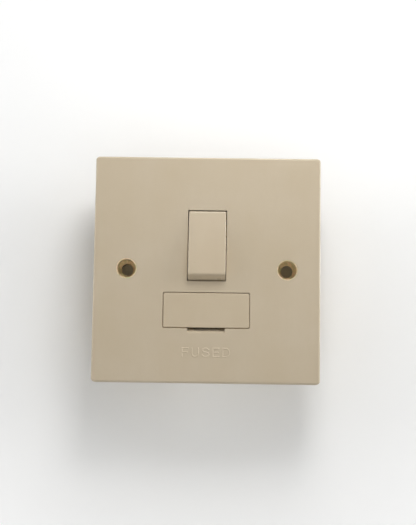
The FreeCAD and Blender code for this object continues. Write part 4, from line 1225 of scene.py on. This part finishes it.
@dataclass
class Studio:
    """The pale floor, the backdrop behind the unit, the soft lamps, the white surroundings and the camera."""

    floor_z: float = -0.125
    backdrop_gap: float = 0.4 * MM
    reach: float = 3.0
    light_above: float = 0.31
    light_below: float = 0.20
    pale: Colour = (0.92, 0.92, 0.91, 1.0)
    bounce: Colour = (0.68, 0.68, 0.67, 1.0)
    paper_fade: Pair = (0.07, 0.17)
    # Colour of the sheets behind the fixing holes: painted shade that keeps the holes dark
    hole_shade: Colour = (0.62, 0.57, 0.44, 1.0)
    hole_reach: float = 3.4 * MM
    hole_gap: float = 0.5 * MM
    lamps: tuple[SoftLamp, ...] = (
        SoftLamp("key_lamp", (0.05, -0.18, 0.24), 0.13, 0.68),
        SoftLamp("right_side_lamp", (0.96, -0.19, 0.18), 0.30, 0.54),
        SoftLamp("left_side_lamp", (-0.96, -0.20, 0.20), 0.30, 0.36),
        SoftLamp("left_rear_lamp", (-0.60, 0.70, 1.20), 0.60, 0.26),
        SoftLamp("right_rear_lamp", (0.45, 1.10, -0.05), 0.60, 0.34),
    )

    def build(self) -> None:
        """Builds the stage, the light and the camera."""
        r, z = self.reach, self.floor_z
        s = Shading("pale_floor")
        floor = [(-r, -r, z), (r, -r, z), (r, r, z), (-r, r, z)]
        self.sheet("stage_floor", floor, self.paper(s, s.matt(self.bounce)))
        s = Shading("pale_backdrop")
        wall = self.upright((-r, r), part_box("rear_housing")[1].y + self.backdrop_gap, (z, r))
        self.sheet("stage_backdrop", wall, self.paper(s, s.clear()))
        # Painted shade: a small sheet behind each screw cup keeps the fixing holes dark
        dark = Shading("hole_shade_sheet")
        dark.ended(dark.front_only(dark.matt(self.hole_shade)))
        for side in ("left", "right"):
            self.sheet(f"stage_{side}_hole_shade_sheet", self.patch_behind(f"{side}_screw_cup"), dark.material)
        self.surroundings()
        for lamp in self.lamps:
            lamp.build()
        PhotoCamera().build()

    def upright(self, x: Pair, y: float, z: Pair) -> list[Triple]:
        """Returns the corners of an upright sheet that faces the front, from its ends along X and Z."""
        return [(x[0], y, z[0]), (x[1], y, z[0]), (x[1], y, z[1]), (x[0], y, z[1])]

    def patch_behind(self, cup: str) -> list[Triple]:
        """Returns the corners of the small sheet right behind a screw cup, put there as painted shade so that
        the hole looks dark.
        """
        middle, back_y, r = middle_of(cup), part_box(cup)[1].y + self.hole_gap, self.hole_reach
        return self.upright((middle.x - r, middle.x + r), back_y, (middle.z - r, middle.z + r))

    def sheet(self, name: str, corners: list[Triple], material: Material) -> None:
        """Puts one flat stage sheet in the scene.

        Args:
            name: its name.
            corners: its four corners, in order round the side that it faces.
            material: its material.
        """
        mesh = bpy.data.meshes.new(name)
        mesh.from_pydata(corners, [], [(0, 1, 2, 3)])
        mesh.materials.append(material)
        put(name, mesh)

    def paper(self, s: Shading, unseen: Socket) -> Material:
        """Ends a paper, which the camera sees from the front only.

        Near the unit it is pale and matt, and keeps the shadows. Away from the unit it turns plain white.

        Args:
            s: the paper's graph.
            unseen: the surface that all other light meets.

        Returns:
            The material.
        """
        away = s.between(s.from_middle(), self.paper_fade, 0, 1)
        shown = s.front_only(s.layered(away, s.matt(self.pale), s.node("Emission").outputs[0]))
        return s.ended(s.layered(s.node("LightPath").outputs["Is Camera Ray"], unseen, shown))

    def surroundings(self) -> None:
        """Lights the scene from all round, more from above, with white for the camera, gloss and glass."""
        world = bpy.data.worlds.new("studio_surround")
        world.use_nodes = True
        sky = Graph(world.node_tree)
        towards = sky.node("TexCoord").outputs["Generated"]
        height = sky.node("SeparateXYZ", "", towards).outputs["Z"]
        level = sky.between(height, (-1, 1), self.light_below, self.light_above)
        light = sky.node("Background", Color=WHITE, Strength=level).outputs[0]
        white = sky.node("Background", Color=WHITE).outputs[0]
        path = sky.node("LightPath")
        seen = path.outputs["Is Camera Ray"]
        for ray in ("Is Glossy Ray", "Is Transmission Ray"):
            seen = sky.node("Math", "MAXIMUM", seen, path.outputs[ray]).outputs[0]
        sky.node("OutputWorld", Surface=sky.layered(seen, light, white))
        bpy.context.scene.world = world


def main() -> None:
    """Builds the studio and every sub-assembly in order."""
    logging.basicConfig(level=logging.INFO, format="%(name)s: %(message)s")
    bpy.context.scene.view_settings.view_transform = "Standard"
    Studio().build()
    for assembly in (FrontPlate(), RockerSwitch(), FuseCarrier(), Terminals(), RearHousing(), EarthPath()):
        assembly.build()
        LOG.info("%s is built", type(assembly).__name__)


if __name__ == "__main__":
    main()
